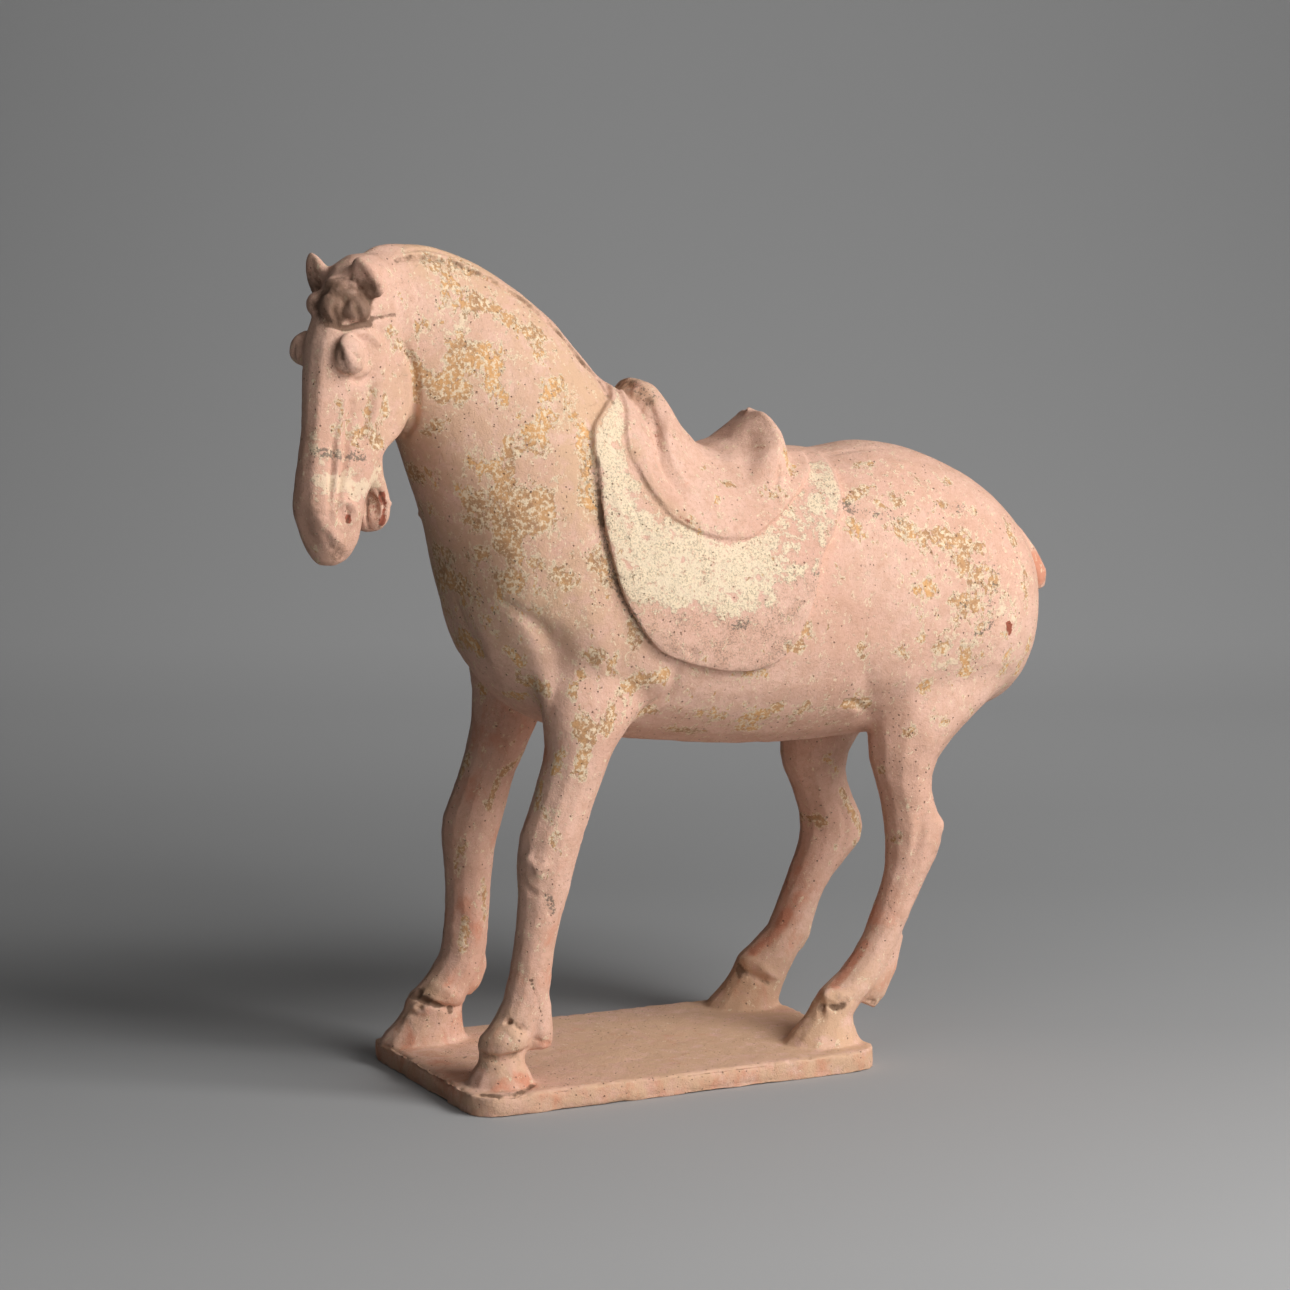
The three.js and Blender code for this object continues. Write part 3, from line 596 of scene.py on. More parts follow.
SOOT: tuple[tuple[Path, float, float], ...] = (
    (((846, 504), (853, 510)), 4, 0.8), (((864, 512), (884, 516), (900, 522)), 3.5, 0.6),
    (((958, 512), (962, 506)), 4, 0.6), (((964, 606),), 4, 0.9), (((976, 634), (992, 624)), 4, 0.8),
    (((996, 565), (990, 610)), 5, 0.5), (((318, 452), (340, 455), (362, 457)), 4, 0.95),
    (((603, 520), (617, 585), (640, 625)), 5, 0.6), (((790, 525), (760, 545), (790, 560)), 20, 0.2),
    (((820, 490), (840, 500)), 12, 0.3), (((650, 545), (700, 560)), 30, 0.1),
    (((590, 465), (600, 500)), 7, 0.5), (((735, 626), (748, 622)), 4, 0.9),
    (((818, 575), (815, 600)), 4, 0.5), (((548, 895), (553, 912)), 3, 0.8),
    (((630, 380), (650, 400)), 8, 0.5), (((322, 310), (360, 310)), 12, 0.3),
)
RED_PAINT: tuple[tuple[Path, float, float], ...] = (
    (((374, 492), (372, 510), (374, 526)), 8, 0.6), (((383, 495), (386, 508), (383, 522)), 3.0, 0.56),
    (((341, 519), (346, 520)), 4, 0.5), (((347, 508), (349, 520)), 2.5, 0.62),
    (((1008, 624), (1010, 632)), 3.2, 1.3), (((431, 344),), 2.5, 1.2), (((657, 436), (660, 452)), 3, 0.7),
    (((752, 438), (766, 452)), 6, 0.56), (((668, 510), (690, 523)), 3, 0.6),
    (((636, 405), (640, 425)), 4, 0.5), (((655, 415), (652, 425)), 4, 0.5),
    (((848, 583), (882, 541)), 1.4, 0.55), (((710, 445), (720, 442)), 4, 0.4),
    (((622, 632), (624, 640)), 3, 0.6), (((830, 558),), 2.5, 0.8), (((872, 540), (878, 530)), 4, 0.6),
)
PITTED: tuple[tuple[Path, float, float], ...] = (
    (((590, 680), (620, 720)), 30, 0.9), (((880, 700), (885, 740)), 22, 0.9),
    (((330, 380), (345, 430)), 16, 0.7), (((500, 420), (560, 480)), 40, 0.5),
    (((600, 580), (640, 640)), 26, 0.6), (((470, 570), (500, 620)), 24, 0.6),
    (((905, 760), (900, 800)), 20, 0.6), (((480, 1030), (500, 1060)), 18, 0.6),
    (((600, 470), (620, 540)), 22, 0.5), (((600, 1090), (760, 1075)), 16, 0.6),
    (((545, 870), (535, 920)), 16, 0.6), (((940, 600), (980, 640)), 30, 0.3),
)


def stained(
        name: str, tone: Tone, twin: Twin, rows: tuple[tuple[Path, float, float], ...]
) -> tuple[Stain, ...]:
    """Return the stains of one tone.

    Args:
        name: What each of them is.
        tone: What they leave.
        twin: Whether each is repeated on the far side.
        rows: The path, radius and strength of each.

    Returns:
        The stains.
    """
    return tuple(Stain(name, path, radius, tone=tone, strength=strength, twin=twin)
                 for path, radius, strength in rows)


STAINS = (
    *stained("ochre flake", Tone.EARTH, Twin.BODY, OCHRE_FLAKES),
    *stained("cream remnant", Tone.CREAM, Twin.BODY, CREAM_REMNANTS),
    *stained("buff tint", Tone.BUFF, Twin.BODY, BUFF_TINTS),
    *stained("fired clay showing", Tone.FIRED, Twin.BODY, FIRED_TINTS),
    *stained("dirt", Tone.GRIME, Twin.BODY, DIRT_AND_PAINTED_SHADE),
    *stained("soot", Tone.SOOT, Twin.NONE, SOOT),
    *stained("red paint", Tone.RED, Twin.NONE, RED_PAINT),
    *stained("pitted clay", Tone.PITS, Twin.BODY, PITTED),
)


class Skin:
    """The closed clay surface of the figure, with its points and normals in parts."""

    def __init__(self, piece: bpy.types.Object) -> None:
        """Read the piece's points and normals.

        Args:
            piece: The mesh object to work on.
        """
        self.piece = piece
        self.spots = np.empty(0)
        self.normals = np.empty(0)
        self.read()

    def read(self) -> None:
        """Take the points and normals from the mesh, and the shape that rays and marks find."""
        mesh = self.piece.data
        raw = np.empty(len(mesh.vertices) * 3)
        mesh.vertices.foreach_get("co", raw)
        self.spots = in_parts(raw.reshape(-1, 3))
        mesh.vertex_normals.foreach_get("vector", raw)
        self.normals = raw.reshape(-1, 3).copy()
        bpy.context.view_layer.update()
        self.tree = BVHTree.FromObject(self.piece, bpy.context.evaluated_depsgraph_get())

    def write(self) -> None:
        """Put the points back into the mesh."""
        metres = (self.spots + np.array((0.0, 0.0, SLAB_PARTS))) * PART
        self.piece.data.vertices.foreach_set("co", metres.astype(np.float32).ravel())
        self.piece.data.update()

    def raise_by(self, amounts: np.ndarray) -> None:
        """Move every point out along its normal by its amount, in parts."""
        self.spots += self.normals * amounts[:, None]

    def seen_through(self, pixel: Pixel) -> np.ndarray:
        """Return the place on the surface, in parts, that a pixel of the photograph shows."""
        direction = VIEWPOINT.ray(pixel)
        hit = self.tree.ray_cast(VIEWPOINT.place, direction)[0]
        if hit is None:
            middle = VIEWPOINT.place + direction * VIEWPOINT.distance * PART
            hit = self.tree.find_nearest(middle)[0]
        return in_parts(np.array(hit))

    def on_surface(self, spots: np.ndarray) -> np.ndarray:
        """Return the places on the surface nearest to places in parts."""
        hits = [self.tree.find_nearest(placed(tuple(spot)))[0] for spot in spots]
        return np.array([in_parts(np.array(hit)) for hit in hits])

    def lines(self, mark: Mark) -> list[np.ndarray]:
        """Lay a mark's path over the surface, once or on both sides.

        Args:
            mark: The mark.

        Returns:
            The points along each line, in parts.
        """
        seen = np.array([self.seen_through(pixel) for pixel in mark.path])
        starts = [seen]
        if mark.twin is Twin.BODY:
            starts.append(self.on_surface(seen * np.array((1.0, -1.0, 1.0))))
        if mark.twin is Twin.HEAD:
            starts.append(self.on_surface(HEAD.reflected(seen)))
        return [smooth_line([tuple(spot) for spot in start], 5) for start in starts]

    def nearness(self, line: np.ndarray, radius: float) -> tuple[np.ndarray, np.ndarray, np.ndarray]:
        """Find the points near a line.

        Args:
            line: The line's points, in parts.
            radius: How far from it a point may lie.

        Returns:
            The points' numbers, their nearness from 0 at the radius to 1 on the line, and how far along
            the line each lies, from 0 to 1.
        """
        near = np.flatnonzero(np.all((self.spots >= line.min(axis=0) - radius)
                                     & (self.spots <= line.max(axis=0) + radius), axis=1))
        distance, along = nearest_on_line(self.spots[near], line)
        return near, np.clip(1.0 - distance / radius, 0.0, 1.0), along

    def carve(self, strokes: tuple[Stroke, ...]) -> None:
        """Work strokes into the clay, all of them laid over the surface as it was before the first.

        Args:
            strokes: The strokes to work in.
        """
        amounts = np.zeros(len(self.spots))
        for number, stroke in enumerate(strokes):
            for line in self.lines(stroke):
                near, share, along = self.nearness(line, stroke.radius)
                if len(line) > 1:
                    share = share * (0.35 + 0.65 * np.sqrt(np.sin(np.pi * np.clip(along, 0.02, 0.98))))
                soft = share**1.5 if stroke.sharp else share * share * (3.0 - 2.0 * share)
                if stroke.grain:
                    lumps = lattice_noise(self.spots[near], stroke.grain, number)
                    soft = soft * (0.55 + 0.9 * lumps)
                amounts[near] += soft * stroke.height
        self.raise_by(amounts)

    def lay(self, cover: Cover, blur: float) -> None:
        """Sharpen the edge of a layer whose step was smoothed away.

        Args:
            cover: The layer.
            blur: How far the step was spread, in parts.
        """
        inside = cover.inside(self.spots) + 1.2 * lattice_noise(self.spots, 17.0, 5)
        on_side = smooth_step(0.15, 0.4, np.abs(self.normals[:, 1]))
        crisp = smooth_step(-cover.edge_width, cover.edge_width, inside)
        spread = smooth_step(-1.8 * blur, 1.8 * blur, inside)
        self.raise_by((crisp - spread) * cover.thickness * on_side)

    def cover_of(self, tone: Tone) -> np.ndarray:
        """Add up how closely the stains of one tone cover each point."""
        total = np.zeros(len(self.spots))
        for stain in STAINS:
            if stain.tone is tone:
                for line in self.lines(stain):
                    near, share, _ = self.nearness(line, 1.35 * stain.radius)
                    np.add.at(total, near, stain.strength * smooth_step(0.0, 0.75, share))
        return total

    def hollows(self, passes: int) -> np.ndarray:
        """Measure how deep each point lies between its neighbours, smoothed along the edges.

        Args:
            passes: How many times the measure is evened out over neighbours.

        Returns:
            The depth in parts; points on ridges are negative.
        """
        mesh = self.piece.data
        edges = np.empty(len(mesh.edges) * 2, np.int64)
        mesh.edges.foreach_get("vertices", edges)
        start, end = edges.reshape(-1, 2).T
        count = np.bincount(edges, minlength=len(self.spots)).astype(float)

        def neighbours(values: np.ndarray) -> np.ndarray:
            """Average a value over each point's neighbours."""
            total = (np.bincount(start, values[end], len(self.spots))
                     + np.bincount(end, values[start], len(self.spots)))
            return total / np.maximum(count, 1.0)

        middles = np.stack([neighbours(self.spots[:, axis]) for axis in range(3)], axis=1)
        depth = np.einsum("ij,ij->i", middles - self.spots, self.normals)
        for _ in range(passes):
            depth = 0.5 * depth + 0.5 * neighbours(depth)
        return depth

    def keep(self, name: str, values: np.ndarray) -> None:
        """Keep a value for each point as a mesh attribute of that name."""
        attribute = self.piece.data.attributes.new(name, "FLOAT", "POINT")
        attribute.data.foreach_set("value", values.astype(np.float32))


Feed = float | Point | bpy.types.NodeSocket


class Sheet:
    """A tree of shader nodes that is filled with short calls."""

    def __init__(self, tree: bpy.types.NodeTree) -> None:
        """Start on a tree.

        Args:
            tree: The node tree to fill.
        """
        self.tree = tree

    def feed(self, socket: bpy.types.NodeSocket, value: Feed) -> None:
        """Set a socket to a value or a colour, or join it to another socket."""
        if isinstance(value, bpy.types.NodeSocket):
            self.tree.links.new(value, socket)
        elif isinstance(value, tuple) and socket.type == "RGBA":
            socket.default_value = (*value, 1.0)
        else:
            socket.default_value = value

    def attribute(self, name: str) -> bpy.types.NodeSocket:
        """Return the values of a mesh attribute."""
        node = self.tree.nodes.new("ShaderNodeAttribute")
        node.attribute_name = name
        return node.outputs["Fac"]

    def sum(self, operation: str, *values: Feed) -> bpy.types.NodeSocket:
        """Return the result of a sum on one to three values."""
        node = self.tree.nodes.new("ShaderNodeMath")
        node.operation = operation
        for socket, value in zip(node.inputs, values):
            self.feed(socket, value)
        return node.outputs[0]

    def step(self, value: Feed, low: Feed, high: Feed, top: Feed = 1.0) -> bpy.types.NodeSocket:
        """Return a smooth rise from 0 at low to top at high."""
        node = self.tree.nodes.new("ShaderNodeMapRange")
        node.interpolation_type = "SMOOTHSTEP"
        for name, given in (("Value", value), ("From Min", low), ("From Max", high), ("To Max", top)):
            self.feed(node.inputs[name], given)
        return node.outputs["Result"]

    def blend(self, share: Feed, first: Feed, second: Feed) -> bpy.types.NodeSocket:
        """Return a blend of two colours."""
        node = self.tree.nodes.new("ShaderNodeMix")
        node.data_type = "RGBA"
        self.feed(node.inputs[0], share)
        self.feed(node.inputs[6], first)
        self.feed(node.inputs[7], second)
        return node.outputs[2]

    def noise(self, place: Feed, scale: float, detail: float = 3.0, roughness: float = 0.55,
              distortion: float = 0.0) -> bpy.types.NodeSocket:
        """Return soft noise about 0.5, in lumps of one over the scale, in metres."""
        node = self.tree.nodes.new("ShaderNodeTexNoise")
        for name, given in (("Vector", place), ("Scale", scale), ("Detail", detail),
                            ("Roughness", roughness), ("Distortion", distortion)):
            self.feed(node.inputs[name], given)
        return node.outputs["Fac"]

    def turned(self, place: Feed, scale: Point, turn: Point = (0.0, 0.0, 0.0)) -> bpy.types.NodeSocket:
        """Return a place stretched and turned, to run a pattern along a direction."""
        node = self.tree.nodes.new("ShaderNodeMapping")
        self.feed(node.inputs["Vector"], place)
        self.feed(node.inputs["Rotation"], turn)
        self.feed(node.inputs["Scale"], scale)
        return node.outputs["Vector"]

    def group(self, tree: bpy.types.NodeTree, **inputs: Feed) -> bpy.types.Node:
        """Place a node group and feed its inputs, named with spaces as underscores."""
        node = self.tree.nodes.new("ShaderNodeGroup")
        node.node_tree = tree
        for name, value in inputs.items():
            self.feed(node.inputs[name.replace("_", " ")], value)
        return node


def new_group(
        name: str, inputs: dict[str, str], outputs: tuple[str, ...]
) -> tuple[Sheet, bpy.types.Node, bpy.types.Node]:
    """Start a shader node group.

    Args:
        name: The group's name.
        inputs: The kind of each named input socket.
        outputs: The names of its outputs, which are all values.

    Returns:
        The sheet of its nodes, its input node and its output node.
    """
    tree = bpy.data.node_groups.new(name, "ShaderNodeTree")
    for label, kind in inputs.items():
        tree.interface.new_socket(label, in_out="INPUT", socket_type=kind)
    for label in outputs:
        tree.interface.new_socket(label, in_out="OUTPUT", socket_type="NodeSocketFloat")
    return Sheet(tree), tree.nodes.new("NodeGroupInput"), tree.nodes.new("NodeGroupOutput")


def flakes_group() -> bpy.types.NodeTree:
    """Build the group for ragged flakes: their middle, and the pale rim around it."""
    sheet, given, result = new_group(
        "ragged flakes", {"Place": "NodeSocketVector", "Scale": "NodeSocketFloat", "Cover": "NodeSocketFloat",
                          "Rim": "NodeSocketFloat"}, ("Middle", "Rim"))
    broad = sheet.noise(given.outputs["Place"], given.outputs["Scale"], 6.0, 0.74, 0.2)
    limit = sheet.sum("MULTIPLY_ADD", given.outputs["Cover"], -0.2, 0.7)
    outer = sheet.sum("SUBTRACT", limit, given.outputs["Rim"])
    sheet.feed(result.inputs["Middle"], sheet.step(broad, limit, sheet.sum("ADD", limit, 0.04)))
    sheet.feed(result.inputs["Rim"], sheet.step(broad, outer, sheet.sum("ADD", outer, 0.03)))
    return sheet.tree


def pin_holes_group() -> bpy.types.NodeTree:
    """Build the group for small round holes, some of the cells of a scattered pattern."""
    sheet, given, result = new_group(
        "pin holes", {"Place": "NodeSocketVector", "Scale": "NodeSocketFloat", "Share": "NodeSocketFloat",
                      "Width": "NodeSocketFloat"}, ("Hole",))
    cells = sheet.tree.nodes.new("ShaderNodeTexVoronoi")
    sheet.feed(cells.inputs["Vector"], given.outputs["Place"])
    sheet.feed(cells.inputs["Scale"], given.outputs["Scale"])
    pick = sheet.tree.nodes.new("ShaderNodeSeparateColor")
    sheet.feed(pick.inputs[0], cells.outputs["Color"])
    chosen = sheet.sum("LESS_THAN", pick.outputs[0], given.outputs["Share"])
    spread = sheet.sum("MULTIPLY_ADD", pick.outputs[1], 0.8, 0.5)
    width = sheet.sum("MULTIPLY", given.outputs["Width"], spread)
    width = sheet.sum("MULTIPLY", width, sheet.noise(given.outputs["Place"], 1300.0, 1.0, 0.5))
    width = sheet.sum("MULTIPLY", width, 2.0)
    inner = sheet.sum("MULTIPLY", width, 0.5)
    sheet.feed(result.inputs["Hole"], sheet.sum("MULTIPLY", chosen,
                                                sheet.step(cells.outputs["Distance"], width, inner)))
    return sheet.tree


def paint(red: int, green: int, blue: int) -> Point:
    """Return a colour given as it shows on a screen, in the light units that shaders use."""
    return tuple(((v / 255 + 0.055) / 1.055) ** 2.4 for v in (red, green, blue))


@dataclass(frozen=True)
class PaintedClay:
    """Fired clay under pink slip, with flakes, stains, soiling and painted shade where the mesh's attributes
    say.
    """

    name: str = "painted_clay"
    pink: Point = paint(217, 170, 149)
    pink_pale: Point = paint(228, 186, 166)
    pink_brown: Point = paint(196, 147, 124)
    buff: Point = paint(212, 172, 140)
    cream: Point = paint(232, 212, 182)
    rim: Point = paint(238, 216, 182)
    ochre: Point = paint(204, 155, 107)
    umber: Point = paint(174, 132, 96)
    orange: Point = paint(224, 168, 108)
    fired: Point = paint(204, 132, 102)
    red_brown: Point = paint(152, 80, 58)
    # Used both for soil and for painted shade in creases, hollows and on sides turned from the light
    dirt: Point = paint(104, 76, 56)
    soot: Point = paint(96, 90, 78)
    roughness: float = 0.88
    grit_scale: float = 1100.0
    stipple_scale: float = 800.0
    speck_scale: float = 500.0
    pit_scale: float = 420.0
    fine_scale: float = 380.0
    fleck_scale: float = 270.0
    flake_scale: float = 190.0
    cream_scale: float = 90.0
    medium_scale: float = 90.0
    fired_scale: float = 60.0
    broad_scale: float = 14.0
    flake_rim: float = 0.055
    pit_share: float = 0.25
    pit_width: float = 0.26
    relief_depth: float = 0.0014
    relief_strength: float = 0.8

    def build(self) -> bpy.types.Material:
        """Make the material.

        Returns:
            The material.
        """
        material = bpy.data.materials.new(self.name)
        material.use_nodes = True
        sheet = Sheet(material.node_tree)
        shader = material.node_tree.nodes["Principled BSDF"]
        place = sheet.tree.nodes.new("ShaderNodeTexCoord").outputs["Object"]
        shares = {tone: sheet.attribute(tone.value) for tone in Tone}
        grit = sheet.noise(place, self.grit_scale, 2.0, 0.6)
        fine = sheet.noise(place, self.fine_scale, 4.0, 0.7)
        medium = sheet.noise(place, self.medium_scale, 6.0, 0.65)
        broad = sheet.noise(place, self.broad_scale, 3.0, 0.5)

        colour = sheet.blend(sheet.step(broad, 0.35, 0.65), self.pink, self.pink_pale)
        colour = sheet.blend(sheet.step(medium, 0.4, 0.75, 0.55), colour, self.pink_brown)
        colour = sheet.blend(sheet.step(fine, 0.48, 0.7, 0.55), colour, self.pink_brown)
        colour = sheet.blend(sheet.step(fine, 0.46, 0.3, 0.5), colour, self.pink_pale)
        colour = sheet.blend(sheet.step(grit, 0.5, 0.75, 0.5), colour, self.pink_brown)
        flakes = flakes_group()
        flecks = sheet.group(flakes, Place=place, Scale=self.fleck_scale, Cover=0.5, Rim=0.0)
        colour = sheet.blend(sheet.sum("MULTIPLY", flecks.outputs["Middle"], 0.45), colour, self.rim)
        buff = sheet.sum("MULTIPLY", shares[Tone.BUFF], sheet.step(medium, 0.25, 0.6))
        colour = sheet.blend(buff, colour, self.buff)
        ragged = sheet.noise(sheet.turned(place, (1.0, 1.0, 0.6)), self.fired_scale, 6.0, 0.7, 0.4)
        fired_limit = sheet.sum("MULTIPLY_ADD", shares[Tone.FIRED], -0.28, 0.64)
        fired = sheet.step(ragged, fired_limit, sheet.sum("ADD", fired_limit, 0.34), 0.85)
        colour = sheet.blend(fired, colour, self.fired)

        cloth = sheet.attribute("cloth")
        cream = sheet.group(flakes, Place=place, Scale=self.cream_scale, Cover=shares[Tone.CREAM], Rim=0.0)
        cream_share = sheet.sum("MULTIPLY", cream.outputs["Middle"], sheet.step(fine, 0.72, 0.52, 0.95))
        cream_share = sheet.sum("MULTIPLY", cream_share, sheet.sum("MULTIPLY_ADD", cloth, 0.3, 0.7))
        pale = sheet.blend(sheet.step(medium, 0.35, 0.7), self.cream, self.rim)
        colour = sheet.blend(cream_share, colour, pale)

        slanted = sheet.turned(place, (1.0, 1.0, 0.7), (0.0, 0.5, 0.0))
        earth = sheet.group(flakes, Place=slanted, Scale=self.flake_scale, Cover=shares[Tone.EARTH],
                            Rim=self.flake_rim)
        rim_share = sheet.sum("MULTIPLY", earth.outputs["Rim"], sheet.step(fine, 0.42, 0.54, 0.8))
        colour = sheet.blend(rim_share, colour, self.rim)
        ochre = sheet.blend(sheet.step(medium, 0.35, 0.65), self.ochre, self.umber)
        ochre = sheet.blend(sheet.step(broad, 0.5, 0.62, 0.7), ochre, self.orange)
        ochre_share = sheet.sum("MULTIPLY", earth.outputs["Middle"], sheet.step(fine, 0.6, 0.47))
        colour = sheet.blend(ochre_share, colour, ochre)

        red_limit = sheet.sum("MULTIPLY_ADD", shares[Tone.RED], -0.6, 0.9)
        red = sheet.step(sheet.sum("MULTIPLY_ADD", fine, 0.5, sheet.sum("MULTIPLY", medium, 0.5)), red_limit,
                         sheet.sum("ADD", red_limit, 0.1))
        colour = sheet.blend(red, colour, self.red_brown)
        specks = sheet.group(flakes, Place=place, Scale=self.speck_scale, Cover=shares[Tone.SOOT], Rim=0.0)
        colour = sheet.blend(sheet.sum("MULTIPLY", specks.outputs["Middle"], 0.75), colour, self.soot)
        holes = pin_holes_group()
        pits = sheet.group(holes, Place=place, Scale=self.pit_scale, Width=self.pit_width,
                           Share=sheet.sum("MULTIPLY", shares[Tone.PITS], self.pit_share))
        stipple = sheet.step(sheet.noise(place, self.stipple_scale, 3.0, 0.7), 0.5, 0.6)
        stippled = sheet.sum("MULTIPLY", stipple, sheet.step(medium, 0.38, 0.6, 0.45))
        stippled = sheet.sum("MULTIPLY", stippled, sheet.step(cloth, 0.5, 0.56))
        colour = sheet.blend(stippled, colour, self.soot)
        # Soil together with painted shade: darkens the strokes' creases, the hollows, the sides turned from
        # the light and the far legs
        dirt_and_shade_limit = sheet.sum("MULTIPLY_ADD", shares[Tone.GRIME], -0.6, 0.86)
        dirt_and_shade = sheet.step(medium, dirt_and_shade_limit, sheet.sum("ADD", dirt_and_shade_limit, 0.3), 0.85)
        colour = sheet.blend(dirt_and_shade, colour, self.dirt)
        colour = sheet.blend(sheet.sum("MULTIPLY", pits.outputs["Hole"], 0.75), colour, self.dirt)
        colour = sheet.blend(sheet.sum("MULTIPLY", sheet.attribute("ridge"), 0.25), colour, self.pink_pale)
        sheet.feed(shader.inputs["Base Color"], colour)
        sheet.feed(shader.inputs["Roughness"], self.roughness)

        height = 0.0
        for layer, weight in ((fine, 0.3), (grit, 0.3), (medium, 0.8), (flecks.outputs["Middle"], 0.12),
                              (cream_share, 0.16), (earth.outputs["Middle"], -0.25),
                              (pits.outputs["Hole"], -0.6), (stippled, -0.2)):
            height = sheet.sum("MULTIPLY_ADD", layer, weight, height)
        bump = sheet.tree.nodes.new("ShaderNodeBump")
        sheet.feed(bump.inputs["Height"], height)
        bump.inputs["Distance"].default_value = self.relief_depth
        bump.inputs["Strength"].default_value = self.relief_strength
        sheet.feed(shader.inputs["Normal"], bump.outputs["Normal"])
        return material


@dataclass
class Horse:
    """The whole figure, fired as one piece with its saddle and its slab."""

    name: str = "fired_clay_horse"
    node: str = "tomb_horse"
    voxel: float = 1.25
    triangles: int = 190_000
    trunk_passes: int = 210
    skin_passes: int = 9
    slab_half: tuple[float, float] = (140.0, 86.0)
    slab_corners: tuple[float, float] = (20.0, 9.0)
    layer_blur: float = 9.0
    hollow_passes: int = 2
    # Each row: the width in parts of the lumps that hand and ground left, and how far they stand out
    unevenness: tuple[tuple[float, float], ...] = ((34.0, 0.45), (11.0, 0.22), (4.2, 0.09))
    piece: bpy.types.Object = field(init=False)

    def build(self) -> bpy.types.Object:
        """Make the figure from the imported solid, work its clay and mark its stains.

        Returns:
            The finished piece.
        """
        self.copy_solid()
        self.fuse()
        self.soften()
        skin = Skin(self.piece)
        for layer in (CLOTH, PAD):
            skin.lay(layer, self.layer_blur)
        skin.write()
        skin.read()
        skin.carve(STROKES)
        skin.write()
        skin.read()
        self.wear(skin)
        skin.write()
        self.thin()
        self.keep_in_box(Skin(self.piece))
        self.mark(Skin(self.piece))
        self.dress()
        return self.piece

    def copy_solid(self) -> None:
        """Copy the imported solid's mesh and merge its loose triangles."""
        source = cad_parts[self.node]
        self.piece = bpy.data.objects.new(self.name, source.data.copy())
        bpy.context.scene.collection.objects.link(self.piece)
        bpy.ops.object.select_all(action="DESELECT")
        bpy.context.view_layer.objects.active = self.piece
        self.piece.select_set(True)
        bpy.ops.object.mode_set(mode="EDIT")
        bpy.ops.mesh.select_all(action="SELECT")
        bpy.ops.mesh.remove_doubles(threshold=1e-6)
        bpy.ops.object.mode_set(mode="OBJECT")

    def fuse(self) -> None:
        """Turn the joined lumps into one even skin."""
        remesh = self.piece.modifiers.new("even skin", "REMESH")
        remesh.mode = "VOXEL"
        remesh.voxel_size = self.voxel * PART
        remesh.use_smooth_shade = True
        bpy.ops.object.modifier_apply(modifier=remesh.name)

    def softness(self, spots: np.ndarray) -> np.ndarray:
        """Weigh how strongly the clay is smoothed: fully on the trunk, little on thin parts.

        Args:
            spots: The skin's points, in parts.

        Returns:
            The weights, from 0 to 1.
        """
        x, y, z = spots.T
        trunk = smooth_step(186, 214, z)
        on_head = smooth_step(-166, -186, x) * smooth_step(500, 480, z)
        seat = (smooth_step(-24, -10, x) * smooth_step(112, 98, x) * smooth_step(340, 372, z)
                * smooth_step(74, 60, np.abs(y)))
        poll = smooth_step(-140, -175, x) * smooth_step(330, 360, z)
        tail = smooth_step(268, 280, x) * smooth_step(16, 12, np.abs(y)) * smooth_step(262, 268, z)
        return trunk * (1 - 0.93 * on_head) * (1 - 0.88 * seat) * (1 - 0.8 * poll) * (1 - 0.97 * tail)

    def smooth(self, passes: int, weights: np.ndarray) -> None:
        """Smooth the skin.

        Args:
            passes: How many times the points move halfway to their neighbours' middle.
            weights: How strongly each point moves, from 0 to 1.
        """
        modifier = self.piece.modifiers.new("smoothing", "SMOOTH")
        modifier.factor = 0.5
        modifier.iterations = passes
        group = self.piece.vertex_groups.new(name="softness")
        levels = np.round(weights * 20).astype(int)
        for level in range(1, 21):
            chosen = np.flatnonzero(levels == level)
            if len(chosen):
                group.add(chosen.tolist(), level / 20, "REPLACE")
        modifier.vertex_group = group.name
        bpy.ops.object.modifier_apply(modifier=modifier.name)
        self.piece.vertex_groups.clear()

    def soften(self) -> None:
        """Smooth the modelling, more on the broad trunk than on thin parts."""
        spots = Skin(self.piece).spots
        self.smooth(self.trunk_passes, self.softness(spots))
        self.smooth(self.skin_passes, 1.0 - 0.7 * smooth_step(2.0, 0.0, spots[:, 2]))

    def slab_rim(self, spots: np.ndarray) -> np.ndarray:
        """Measure how far points lie inside the slab's outline as seen from above, in parts."""
        corner = np.where(spots[:, 1] < 0, self.slab_corners[0], self.slab_corners[1])
        past = np.abs(spots[:, :2]) - np.array(self.slab_half) + corner[:, None]
        outside = np.linalg.norm(np.maximum(past, 0.0), axis=1)
        return corner - outside - np.minimum(past.max(axis=1), 0.0)

